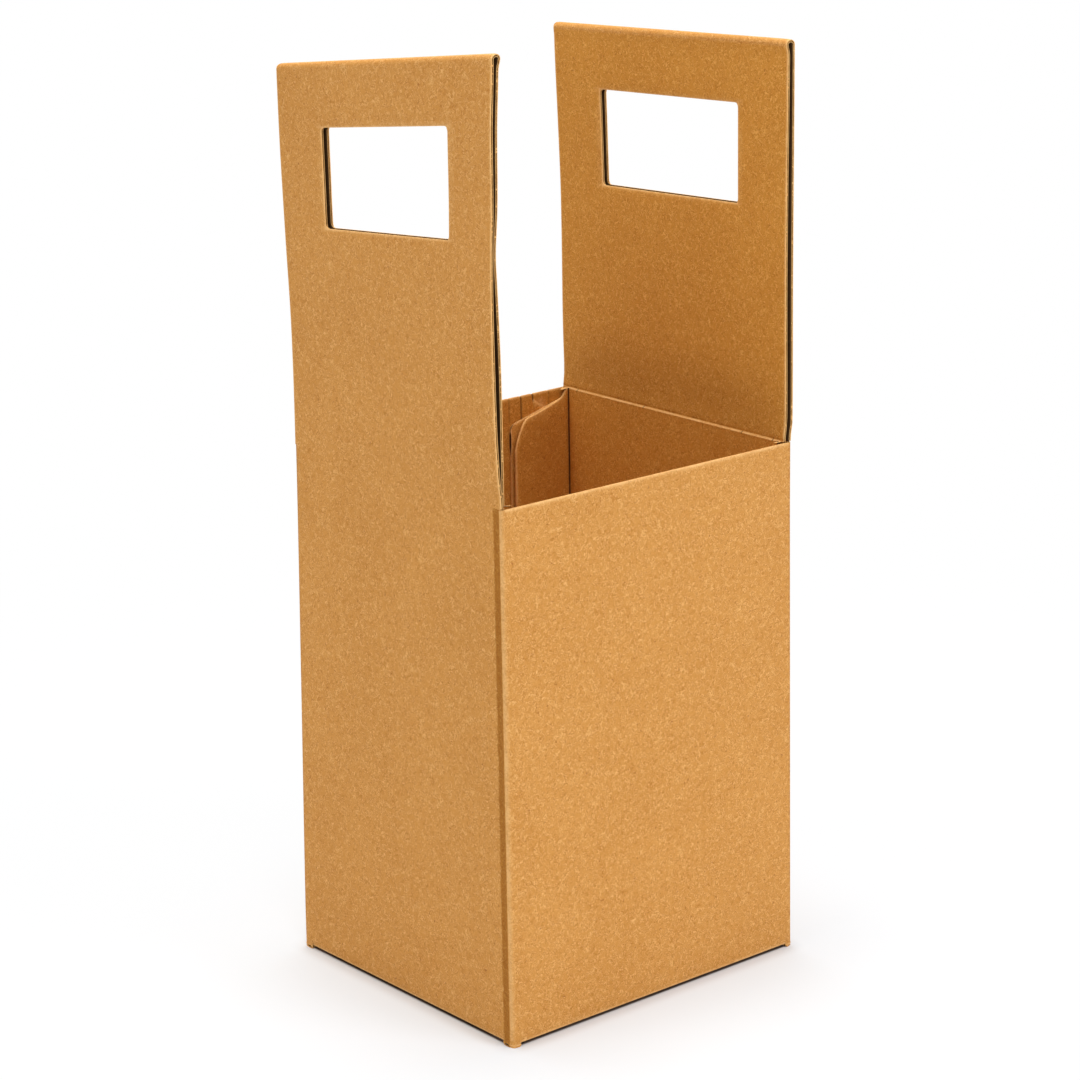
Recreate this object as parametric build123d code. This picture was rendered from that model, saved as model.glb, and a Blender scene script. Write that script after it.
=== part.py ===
"""A cup carrier folded from one sheet of brown corrugated board.

The sheet makes a tall open box with a closed bottom. Two opposite walls run on above the rim as
carrying handles. Each handle is folded over its top, so it has an outer and an inner ply, and the
inner ply ends below the rim in a tuck panel with a wing at each side. All lengths are in
millimetres. The origin is on the floor, under the middle of the box, with +Z up, the handles on
the -X and +X walls and the open front and back walls at -Y and +Y.
"""

import os
from math import cos, hypot, radians, sin

from build123d import *

# The box
box_width = 159.0  # outside, from one handle wall to the other
box_depth = 146.0  # outside, along a handle wall
wall_height = 228.0  # from the bottom creases to the rim
board = 1.6  # thickness of the corrugated board
crease_radius = 0.5  # inside radius of every fold

# The handles, measured up from the rim
left_handle_front_height = 178.5
left_handle_back_height = 162.0
right_handle_front_height = 169.5
right_handle_back_height = 165.5
handle_side_inset = 1.0  # from the front and back walls' outer faces to a handle's side edge
ply_gap = 1.2  # between the two plies of a handle
shoulder_lift = 0.4  # air between the inner ply's shoulders and the rim

# The hand holes, with upright sides and a top edge that runs along the handle's fold
hole_width = 86.0
hole_corner_radius = 1.4
left_hole_below_fold = 26.8
left_hole_front_side = 44.7  # height of the hole's side near the open front wall
left_hole_back_side = 41.5
left_hole_shift = 1.8  # of the hole's middle towards the front wall
right_hole_below_fold = 27.8
right_hole_side = 42.4

# The tuck panels below the inner plies
tuck_depth = 110.0  # below the rim
tuck_step = 1.1  # how far the crease pushes the tuck panel inwards
tuck_lift = 1.3  # height of that crease above the rim
wing_gap = 1.2  # between a wing and what is behind it
wing_reach = 37.4  # from the handle wall's outer face to a wing's free edge
wing_top_drop = 0.8  # a wing's top below the rim, at its hinge
wing_slope_reach = 31.0  # where the sloping top turns down, from the wall's outer face
wing_slope_drop = 10.2
wing_edge_drop = 24.5  # where the free edge becomes upright
wing_corner_radius = 5.0

# The glued seam at the back right corner
tab_reach = 37.3  # from the right wall's outer face to the tab's free edge
tab_drop = 13.4  # the tab's top below the rim, at its free edge
tab_angle = 14.0  # slope of the tab's top and bottom ends, in degrees
tab_corner_radius = 4.0
seam_setback = 0.4  # the back wall's raw edge stops short of the right wall's outer face

# The bottom
ear_drop = 2.0  # how far the corner ears stand below the bottom creases
ear_reach = 5.0  # from a corner along each wall
ear_radius = 1.5
ear_slot = 0.7  # slit between an ear and the crease beside it
flap_sag_reach = 14.0  # over which the bottom flaps sag from the crease to the floor
flap_clearance = 0.5
flap_bend_radius = 8.0
side_flap_reach = 60.0
side_flap_taper = 8.0  # each end of a side flap, from its crease to its free edge

# Places worked out from the sizes above
rim = ear_drop + wall_height
crease_outer_radius = crease_radius + board
fold_top = ear_drop + 2 * board
half_width = box_width / 2
half_depth = box_depth / 2
inner_ply_offset = board + ply_gap  # outer face of the wall to the inner ply's hidden face
tuck_offset = inner_ply_offset + tuck_step
wing_inset_front = board + wing_gap
wing_inset_back = 2 * board + wing_gap


def offset_points(points, distance):
    """Move an open polyline sideways by a distance, to its left where that is positive."""
    moved = []
    for index, (x, y) in enumerate(points):
        before = points[max(index - 1, 0)]
        after = points[min(index + 1, len(points) - 1)]
        normals = []
        for (x0, y0), (x1, y1) in ((before, (x, y)), ((x, y), after)):
            length = hypot(x1 - x0, y1 - y0)
            if length > 0:
                normals.append((-(y1 - y0) / length, (x1 - x0) / length))
        nx = sum(n[0] for n in normals)
        ny = sum(n[1] for n in normals)
        scale = distance * len(normals) / (nx * nx + ny * ny)
        moved.append((x + nx * scale, y + ny * scale))
    return moved


def turns_left(before, corner, after):
    """Say whether a path turns left at a corner."""
    return (corner[0] - before[0]) * (after[1] - corner[1]) > (corner[1] - before[1]) * (
        after[0] - corner[0]
    )


def board_section(middle, bend_radii):
    """Make the section of a bent board from its middle line and the inside radius of each bend."""
    sides = []
    for distance in (board / 2, -board / 2):
        points = offset_points(middle, distance)
        radii = []
        for index, radius in enumerate(bend_radii, start=1):
            left = turns_left(middle[index - 1], middle[index], middle[index + 1])
            inside = left == (distance > 0)
            radii.append(radius if inside else radius + board)
        line = FilletPolyline(*points, radius=radii) if radii else Polyline(*points)
        sides.append((line, points))
    (left_line, left_points), (right_line, right_points) = sides
    ends = [Line(left_points[0], right_points[0]), Line(left_points[-1], right_points[-1])]
    return make_face(Curve() + [left_line, right_line, *ends])


def wall_ring():
    """Make the four walls as one strip round the box, closed by a glued tab at the back right."""
    tab_y = half_depth - board * 3 / 2
    middle_x = half_width - board / 2
    middle_y = half_depth - board / 2
    walls = [
        (half_width - seam_setback, middle_y),
        (-middle_x, middle_y),
        (-middle_x, -middle_y),
        (middle_x, -middle_y),
        (middle_x, 0),
    ]
    seam = [(middle_x, 0), (middle_x, tab_y), (half_width - tab_reach, tab_y)]
    tab = extrude(board_section(seam, [crease_radius]), rim)
    tab -= tab_trim(rim - tab_drop, 1) + tab_trim(fold_top + tab_drop, -1)
    return extrude(board_section(walls, [crease_radius] * 3), rim) + tab


def tab_trim(level, upward):
    """Make the cutter above (1) or below (-1) the tab, whose end slopes from its free edge."""
    slope = sin(radians(tab_angle)) / cos(radians(tab_angle))
    free_x = half_width - tab_reach
    hinge_x = half_width - crease_outer_radius - board
    far = level + upward * (tab_drop + rim)
    outline = FilletPolyline(
        (free_x, level - upward * tab_corner_radius * 3),
        (free_x, level),
        (hinge_x, level + upward * slope * (hinge_x - free_x)),
        radius=tab_corner_radius,
    )
    margin = board
    rest = Polyline(
        (hinge_x, level + upward * slope * (hinge_x - free_x)),
        (hinge_x, far),
        (free_x - margin, far),
        (free_x - margin, level - upward * tab_corner_radius * 3),
        (free_x, level - upward * tab_corner_radius * 3),
    )
    face = Plane.XZ.offset(-(half_depth - board)) * make_face(Curve() + [outline, rest])
    return extrude(face, board + wing_gap / 2)


def trimmed_ring():
    """Make the walls above the bottom creases, with the four corner ears left below them."""
    ring = wall_ring()
    wide = box_width * 2
    below = Pos(0, 0, fold_top / 2) * Box(wide, wide, fold_top)
    ears = Part()
    for x_side in (-1, 1):
        for y_side in (-1, 1):
            ears += corner_ear(ring, x_side, y_side)
    return (ring - below) + ears


def corner_ear(ring, x_side, y_side):
    """Make one corner's ear, which carries the box on the floor, from the walls' own ring."""
    block = Pos(
        x_side * (half_width - ear_reach / 2), y_side * (half_depth - ear_reach / 2), fold_top / 2
    ) * Box(ear_reach, ear_reach, fold_top)
    ear = ring & block
    tips = [
        edge
        for edge in ear.edges().filter_by(GeomType.LINE)
        if abs(edge.center().Z) < 0.01 and is_ear_tip(edge, x_side, y_side)
    ]
    return fillet(tips, ear_radius)


def is_ear_tip(edge, x_side, y_side):
    """Say whether an edge lies across the board at the end of an ear's leg."""
    centre = edge.center()
    along_x = abs(abs(centre.X) - (half_width - ear_reach)) < 0.01
    along_y = abs(abs(centre.Y) - (half_depth - ear_reach)) < 0.01
    return along_x or along_y


def handle(side, front_height, back_height):
    """Make one handle above the rim: two plies joined by the fold along its top."""
    outer_x = half_width - board / 2
    inner_x = half_width - inner_ply_offset - board / 2
    sections = []
    for y, height in ((-1, front_height), (1, back_height)):
        top = rim + height - board / 2
        middle = [
            (side * outer_x, rim),
            (side * outer_x, top),
            (side * inner_x, top),
            (side * inner_x, rim + shoulder_lift),
        ]
        plane = Plane.XZ.offset(-y * (half_depth - handle_side_inset))
        sections.append(plane * board_section(middle, [crease_radius] * 2))
    return loft(sections, ruled=True)


def hand_hole(side, fold_heights, below_fold, side_heights, middle_y):
    """Make the cutter of one hand hole, through both plies, from its front and back heights."""
    run = box_depth - 2 * handle_side_inset
    front_fold, back_fold = fold_heights
    corners = []
    for y_side, side_height in zip((-1, 1), side_heights):
        y = middle_y + y_side * hole_width / 2
        fold = (front_fold + back_fold) / 2 - y * (front_fold - back_fold) / run
        top = rim + fold - below_fold
        ends = [top, top - side_height]
        corners += [(y, z) for z in (ends if y_side < 0 else reversed(ends))]
    outline = make_face(Polyline(*corners, close=True))
    place = Plane((side * half_width, 0, 0), x_dir=(0, 1, 0), z_dir=(1, 0, 0))
    face = place * fillet(outline.vertices(), hole_corner_radius)
    return extrude(face, 3 * (inner_ply_offset + board), both=True)


def both_handles():
    """Make both handles with their hand holes."""
    left_folds = (left_handle_front_height, left_handle_back_height)
    left_sides = (left_hole_front_side, left_hole_back_side)
    left = handle(-1, *left_folds)
    left -= hand_hole(-1, left_folds, left_hole_below_fold, left_sides, -left_hole_shift)
    right_folds = (right_handle_front_height, right_handle_back_height)
    right = handle(1, *right_folds)
    right -= hand_hole(1, right_folds, right_hole_below_fold, [right_hole_side] * 2, 0)
    return left + right


def tuck_panel(side):
    """Make the panel that hangs from one inner ply inside the box, with its two wings."""
    panel_x = half_width - tuck_offset - board / 2
    free_x = half_width - wing_reach
    front_y = -(half_depth - wing_inset_front - board / 2)
    back_y = half_depth - wing_inset_back - board / 2
    plan = [
        (side * free_x, front_y),
        (side * panel_x, front_y),
        (side * panel_x, back_y),
        (side * free_x, back_y),
    ]
    bottom = rim - tuck_depth
    panel = extrude(Pos(0, 0, bottom) * board_section(plan, [crease_radius] * 2), tuck_depth)
    panel -= wing_trim(side)
    return panel + crease_step(side, front_y, back_y)


def wing_trim(side):
    """Make the cutter that gives both wings of a tuck panel their curved top corner."""
    hinge_x = half_width - tuck_offset - crease_outer_radius
    above = rim + board

    def place(reach, drop):
        return (side * (half_width - reach), rim - drop)

    hinge = (side * hinge_x, rim - wing_top_drop)
    edge_bottom = place(wing_reach, wing_edge_drop)
    curve = FilletPolyline(
        hinge, place(wing_slope_reach, wing_slope_drop), edge_bottom, radius=wing_corner_radius
    )
    outside = (side * (half_width - wing_reach - board), rim - wing_edge_drop)
    rest = Polyline(
        edge_bottom, outside, (outside[0], above), (side * hinge_x, above), hinge
    )
    face = Plane.XZ * make_face(Curve() + [curve, rest])
    return extrude(face, box_depth, both=True)


def crease_step(side, front_y, back_y):
    """Make the crease where an inner ply steps inwards to its tuck panel."""
    inner_x = half_width - inner_ply_offset - board / 2
    panel_x = half_width - tuck_offset - board / 2
    step_half = tuck_step / 4
    middle = [
        (side * inner_x, rim + tuck_lift + 2 * board),
        (side * inner_x, rim + tuck_lift + step_half),
        (side * panel_x, rim + tuck_lift - step_half),
        (side * panel_x, rim),
    ]
    start = front_y + board / 2 + crease_radius
    length = back_y - front_y - board - 2 * crease_radius
    face = Plane.XZ.offset(-start) * board_section(middle, [])
    return extrude(face, -length)


def outer_flap(side):
    """Make a bottom flap of the front or back wall, which sags from its crease to the floor."""
    wall_y = half_depth - board / 2
    middle = [
        (side * wall_y, fold_top),
        (side * wall_y, ear_drop + board / 2),
        (side * (half_depth - flap_sag_reach), board / 2),
        (side * flap_clearance / 2, board / 2),
    ]
    section = Plane.YZ * board_section(middle, [crease_radius, flap_bend_radius])
    crease_half = half_width - ear_reach - ear_slot
    return extrude(section, crease_half, both=True)


def side_flap(side):
    """Make a bottom flap of a handle wall, which lies on top of the front and back flaps."""
    wall_x = half_width - board / 2
    middle = [
        (side * wall_x, fold_top),
        (side * wall_x, ear_drop + board / 2),
        (side * (half_width - side_flap_reach), ear_drop + board / 2),
    ]
    section = Plane.XZ * board_section(middle, [crease_radius])
    crease_half = half_depth - ear_reach - ear_slot
    flap = extrude(section, crease_half, both=True)
    root_x = half_width - crease_outer_radius
    free_x = half_width - side_flap_reach
    root_y = half_depth - flap_sag_reach - 2 * board
    free_y = root_y - side_flap_taper
    for y_side in (-1, 1):
        corner = Polyline(
            (side * root_x, y_side * root_y),
            (side * free_x, y_side * free_y),
            (side * (free_x - board), y_side * free_y),
            (side * (free_x - board), y_side * half_depth),
            (side * root_x, y_side * half_depth),
            (side * root_x, y_side * root_y),
        )
        flap -= extrude(make_face(corner), fold_top)
    return flap


def carrier_sheet():
    """Fold the whole sheet."""
    sheet = trimmed_ring()
    sheet += both_handles()
    for side in (-1, 1):
        sheet += tuck_panel(side)
        sheet += outer_flap(side)
        sheet += side_flap(side)
    return sheet


carrier = carrier_sheet()
print("solids", len(carrier.solids()), "volume", round(carrier.volume))
os.makedirs("parts", exist_ok=True)
export_step(carrier, "parts/carrier_sheet.step")
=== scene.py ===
"""The looks of a cup carrier folded from one sheet of brown corrugated board.

The sheet is built as it is made: two liners with a fluted medium glued between them are cut to
the blank's outline while flat, and then every point is carried to its place in the folded
carrier. Lengths in this file are in millimetres, and a mesh is turned to metres as it is
finished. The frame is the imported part's own: the handles stand on the -X and +X walls, the open
front wall is at -Y and the floor is at zero.
"""

import logging
import math
import random
from dataclasses import dataclass, field
from enum import Enum
from typing import Callable, Iterable, Optional, Union

import bmesh
import bpy
from bmesh.types import BMesh, BMFace
from mathutils import Matrix, Vector

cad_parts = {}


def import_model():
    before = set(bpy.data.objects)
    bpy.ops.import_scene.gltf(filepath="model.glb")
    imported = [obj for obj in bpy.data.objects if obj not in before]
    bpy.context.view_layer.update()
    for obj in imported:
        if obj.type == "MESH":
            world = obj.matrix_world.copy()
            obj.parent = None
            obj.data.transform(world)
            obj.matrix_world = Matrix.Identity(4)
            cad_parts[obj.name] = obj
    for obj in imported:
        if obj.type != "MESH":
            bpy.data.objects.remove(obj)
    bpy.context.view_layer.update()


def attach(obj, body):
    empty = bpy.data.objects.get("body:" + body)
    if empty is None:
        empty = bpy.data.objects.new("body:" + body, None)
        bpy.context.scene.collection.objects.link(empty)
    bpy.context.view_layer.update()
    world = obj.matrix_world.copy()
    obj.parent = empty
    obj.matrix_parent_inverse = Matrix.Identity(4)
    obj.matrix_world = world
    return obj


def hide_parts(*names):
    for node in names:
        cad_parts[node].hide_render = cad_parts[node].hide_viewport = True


METRES = 0.001
CARRIER_NODE = "carrier_sheet"
log = logging.getLogger("cup_carrier")

FAR_OFF = 9.0  # stands for the distance of a place that has no edge or fold near it

Pair = tuple[float, float]
Triple = tuple[float, float, float]
Colour = tuple[float, float, float, float]
Number = Union["Value", float]


def ease(value: float) -> float:
    """Turn 0 to 1 into a smooth step with level ends."""
    value = min(max(value, 0.0), 1.0)
    return value * value * (3.0 - 2.0 * value)


def blend(low: float, high: float, share: float) -> float:
    """Go from low to high by a share."""
    return low + (high - low) * share


def bell(distance: float, width: float) -> float:
    """Give 1 at no distance, fading away to both sides over a width."""
    return math.exp(-((distance / width) ** 2))


def middle_of(points: list[Pair]) -> Vector:
    """Give the mean of some points."""
    return sum((Vector(point) for point in points), Vector((0.0, 0.0))) / len(points)


def span(start: float, end: float, step: float) -> list[float]:
    """Give evenly spaced lines from start to end, no wider apart than step."""
    count = max(1, math.ceil(abs(end - start) / step))
    return [start + (end - start) * index / count for index in range(count + 1)]


def merged(lines: Iterable[float], least: float = 0.12) -> list[float]:
    """Sort grid lines and drop those that nearly repeat another.

    Args:
        lines: The places of the lines, in any order.
        least: The smallest distance that is kept between two lines.

    Returns:
        The sorted lines.
    """
    kept: list[float] = []
    for line in sorted(lines):
        if not kept or line - kept[-1] > least:
            kept.append(line)
    return kept


def filled(fixed: Iterable[float], filling: Iterable[float], least: float) -> list[float]:
    """Sort grid lines, where filling lines give way to the fixed ones.

    Args:
        fixed: Places that the grid must have.
        filling: Places that it has where no fixed line is near.
        least: The smallest distance from a fixed line, and between two filling lines.

    Returns:
        The sorted lines.
    """
    kept = merged(fixed)
    spare = [line for line in filling if min(abs(line - other) for other in kept) > least]
    return sorted([*kept, *merged(spare, least)])


def rounded(corners: list[Pair], radius: float, segments: int = 4) -> list[Pair]:
    """Round the corners of a closed outline.

    Args:
        corners: The outline's sharp corners, in order.
        radius: The radius of every corner.
        segments: Pieces in each rounded corner.

    Returns:
        The rounded outline's points, in order.
    """
    outline = []
    for index, corner in enumerate(corners):
        here = Vector(corner)
        back = (Vector(corners[index - 1]) - here).normalized()
        ahead = (Vector(corners[(index + 1) % len(corners)]) - here).normalized()
        half_angle = back.angle(ahead) / 2
        centre = here + (back + ahead).normalized() * radius / math.sin(half_angle)
        start = here + back * radius / math.tan(half_angle) - centre
        turn = math.copysign(math.pi - 2 * half_angle, ahead.cross(back))
        for step in range(segments + 1):
            outline.append(tuple(centre + Matrix.Rotation(turn * step / segments, 2) @ start))
    return outline


def outside_by(corners: list[Pair], x: float, y: float) -> float:
    """Give how far a point is outside an outline that bulges outwards everywhere.

    Args:
        corners: The outline's corners, anticlockwise.
        x: The point's first coordinate.
        y: The point's second coordinate.

    Returns:
        The distance past the outline's furthest side, which is negative inside.
    """
    sides = zip(corners, corners[1:] + corners[:1])
    return max(
        ((x - x0) * (y1 - y0) - (y - y0) * (x1 - x0)) / math.hypot(x1 - x0, y1 - y0)
        for (x0, y0), (x1, y1) in sides
    )


def inside(outline: list[Pair], x: float, y: float) -> bool:
    """Say whether a point is inside an outline that bulges outwards everywhere.

    Args:
        outline: The outline's corners, in order.
        x: The point's first coordinate.
        y: The point's second coordinate.

    Returns:
        True inside the outline.
    """
    signs = set()
    for (x0, y0), (x1, y1) in zip(outline, outline[1:] + outline[:1]):
        if (x1 - x0) ** 2 + (y1 - y0) ** 2 > 1e-12:
            signs.add((x1 - x0) * (y - y0) - (y1 - y0) * (x - x0) > 0)
    return len(signs) == 1


@dataclass(frozen=True)
class Mark:
    """A line of wear, crease, bend, painted highlight or painted shade on the board, fading to
    both sides.
    """

    strength: float
    width: float
    place: float = 0.0  # where the mark is strongest

    def at(self, distance: float) -> float:
        """Give the mark's strength at a distance."""
        return self.strength * bell(distance - self.place, self.width)


@dataclass(frozen=True)
class Sway:
    """A smooth value along a height, set at a few heights."""

    knots: tuple[Pair, ...]

    def at(self, height: float) -> float:
        """Give the value at a height.

        Args:
            height: Height above the floor.

        Returns:
            The value, which is level beyond the first and last knots.
        """
        if height <= self.knots[0][0]:
            return self.knots[0][1]
        for index in range(1, len(self.knots)):
            (z0, v0), (z1, v1) = self.knots[index - 1], self.knots[index]
            if height <= z1:
                gap = z1 - z0
                share = (height - z0) / gap
                m0 = self._slope(index - 1) * gap
                m1 = self._slope(index) * gap
                s2, s3 = share**2, share**3
                return (
                    (2 * s3 - 3 * s2 + 1) * v0
                    + (s3 - 2 * s2 + share) * m0
                    + (3 * s2 - 2 * s3) * v1
                    + (s3 - s2) * m1
                )
        return self.knots[-1][1]

    def _slope(self, index: int) -> float:
        """Give the slope at a knot from its two neighbours.

        Args:
            index: The knot's number.

        Returns:
            The slope, which is level at both ends.
        """
        if index in (0, len(self.knots) - 1):
            return 0.0
        (z0, v0), (z1, v1) = self.knots[index - 1], self.knots[index + 1]
        return (v1 - v0) / (z1 - z0)


class BentLine:
    """A line of straight runs joined by round bends, seen in section."""

    def __init__(self, points: list[Pair], radius: float) -> None:
        """Lay the line out.

        Args:
            points: The corners the line would have without its bends, and its two ends.
            radius: The radius of the bends, at the middle of the board.
        """
        self.pieces: list[tuple[float, float, Vector, Vector, float]] = []
        place, travelled = Vector(points[0]), 0.0
        for index in range(1, len(points)):
            corner = Vector(points[index])
            heading = (corner - Vector(points[index - 1])).normalized()
            last = index == len(points) - 1
            turn = 0.0
            if not last:
                leaving = (Vector(points[index + 1]) - corner).normalized()
                turn = math.atan2(heading.cross(leaving), heading.dot(leaving))
            back = radius * abs(math.tan(turn / 2))
            length = (corner - heading * back - place).dot(heading)
            self.pieces.append((travelled, length, place.copy(), heading, 0.0))
            travelled += length
            place = place + heading * length
            if turn:
                arc = radius * abs(turn)
                self.pieces.append((travelled, arc, place.copy(), heading, turn))
                travelled += arc
                side = math.copysign(1.0, turn)
                centre = place + Vector((-heading.y, heading.x)) * radius * side
                place = centre + Matrix.Rotation(turn, 2) @ (place - centre)
        self.length = travelled

    def at(self, along: float, out: float) -> Vector:
        """Give the point a distance along the line and a distance to its right.

        Args:
            along: Distance travelled from the line's start.
            out: Distance to the right of the middle of the board.

        Returns:
            The point in the section's plane.
        """
        chosen = self.pieces[0]
        for piece in self.pieces:
            if piece[0] > along + 1e-9:
                break
            chosen = piece
        start, length, place, heading, turn = chosen
        right = Vector((heading.y, -heading.x))
        if not turn:
            return place + heading * (along - start) + right * out
        radius = length / abs(turn)
        side = math.copysign(1.0, turn)
        centre = place - right * radius * side
        swung = Matrix.Rotation(turn * (along - start) / length, 2) @ right
        return centre + swung * (radius * side + out)


class Side(Enum):
    """The two handle walls, with the sign of their place on the X axis."""

    LEFT = -1
    RIGHT = 1


@dataclass(frozen=True)
class Board:
    """The corrugated board's own make-up."""

    thickness: float = 1.6
    liner: float = 0.33
    medium: float = 0.17
    flute_pitch: float = 3.3
    crease_radius: float = 0.2
    pinch: float = 0.42  # share of the flutes' height lost at a handle's die-cut edge
    rim_pinch: float = 0.85  # the same at every other cut edge, which is crushed
    pinch_reach: float = 0.8
    crush: Mark = Mark(0.7, 0.8)  # the same along a fold

    @property
    def half(self) -> float:
        """Half the board's thickness."""
        return self.thickness / 2

    @property
    def bend(self) -> float:
        """Radius of a fold at the middle of the board."""
        return self.crease_radius + self.half

    @property
    def fold_run(self) -> float:
        """Length of the board's middle in a square fold."""
        return self.bend * math.pi / 2

    @property
    def flute_half(self) -> float:
        """Half the room between the liners."""
        return self.half - self.liner

    @property
    def wave(self) -> float:
        """How far the medium's middle swings to each side."""
        return self.flute_half - self.medium / 2

    def squeezed(self, out: float, share: float) -> float:
        """Give a point's place across the board where its flutes are squeezed.

        Args:
            out: Distance from the middle of the board.
            share: Share of the flutes' height that is lost.

        Returns:
            The new distance. The liners keep their thickness.
        """
        inner = max(min(out, self.flute_half), -self.flute_half)
        return out - inner * share


@dataclass(frozen=True)
class HandleShape:
    """One handle's heights above the rim and the ways it has bent."""

    front_height: float
    back_height: float
    front_sway: Sway  # of the outer ply's front edge along +X
    inner_front_sway: Sway
    back_sway: Sway  # of both plies' back edges along +X
    inner_inset: Sway  # how much narrower the inner ply is at each edge
    hole_drop: float  # from the fold to the hand hole's top
    hole_sides: Pair  # heights of the hand hole's front and back sides
    hole_shift: float  # of the hand hole's middle towards the back

    def height(self, share: float) -> float:
        """Give the height over the rim, at a share of the way to the back."""
        return blend(self.front_height, self.back_height, share)


LEFT_HANDLE = HandleShape(
    front_height=178.5,
    back_height=162.0,
    front_sway=Sway(
        (
            (230.5, 0.0), (242.0, -1.1), (262.0, -2.1), (290.0, -2.55), (318.0, -2.6),
            (335.0, -2.1), (352.0, -1.55), (380.0, -1.2), (408.0, 0.0),
        )
    ),
    inner_front_sway=Sway(
        (
            (231.0, 0.0), (262.0, -0.5), (290.0, -1.1), (318.0, -2.2), (331.0, -2.75),
            (350.0, -1.6), (380.0, -1.2), (408.0, 0.0),
        )
    ),
    back_sway=Sway(((230.0, 0.0), (392.0, 0.0))),
    inner_inset=Sway(((230.0, 2.9), (275.0, 2.0), (330.0, 1.3), (400.0, 0.6))),
    hole_drop=26.8,
    hole_sides=(44.7, 41.5),
    hole_shift=-1.8,
)
RIGHT_HANDLE = HandleShape(
    front_height=169.5,
    back_height=165.5,
    front_sway=Sway(((230.5, 0.3), (239.0, 1.0), (300.0, 0.9), (398.0, 1.2))),
    inner_front_sway=Sway(((230.5, 0.3), (239.0, 0.9), (300.0, 0.8), (350.0, 1.1), (398.0, 1.5))),
    back_sway=Sway(((232.0, 0.8), (262.0, 0.2), (320.0, 0.1), (350.0, -0.8), (394.0, -2.2))),
    inner_inset=Sway(((230.0, 0.2), (300.0, 0.4), (398.0, 0.2))),
    hole_drop=27.8,
    hole_sides=(42.4, 42.4),
    hole_shift=0.0,
)


# A wing's cut top, as its reach from the handle wall's outer face and its drop below the rim
WING_TOP: tuple[Pair, ...] = (
    (3.0, -0.3), (4.9, -0.2), (5.8, 0.1), (6.9, 0.9), (7.9, 2.4), (9.1, 3.6), (12.6, 4.9),
    (16.6, 6.2), (21.1, 7.5), (25.1, 8.5), (29.1, 9.4), (30.7, 10.2), (31.9, 11.5), (33.5, 14.0),
    (34.9, 17.2), (36.1, 20.3), (37.2, 23.9), (37.8, 26.0),
)


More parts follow.
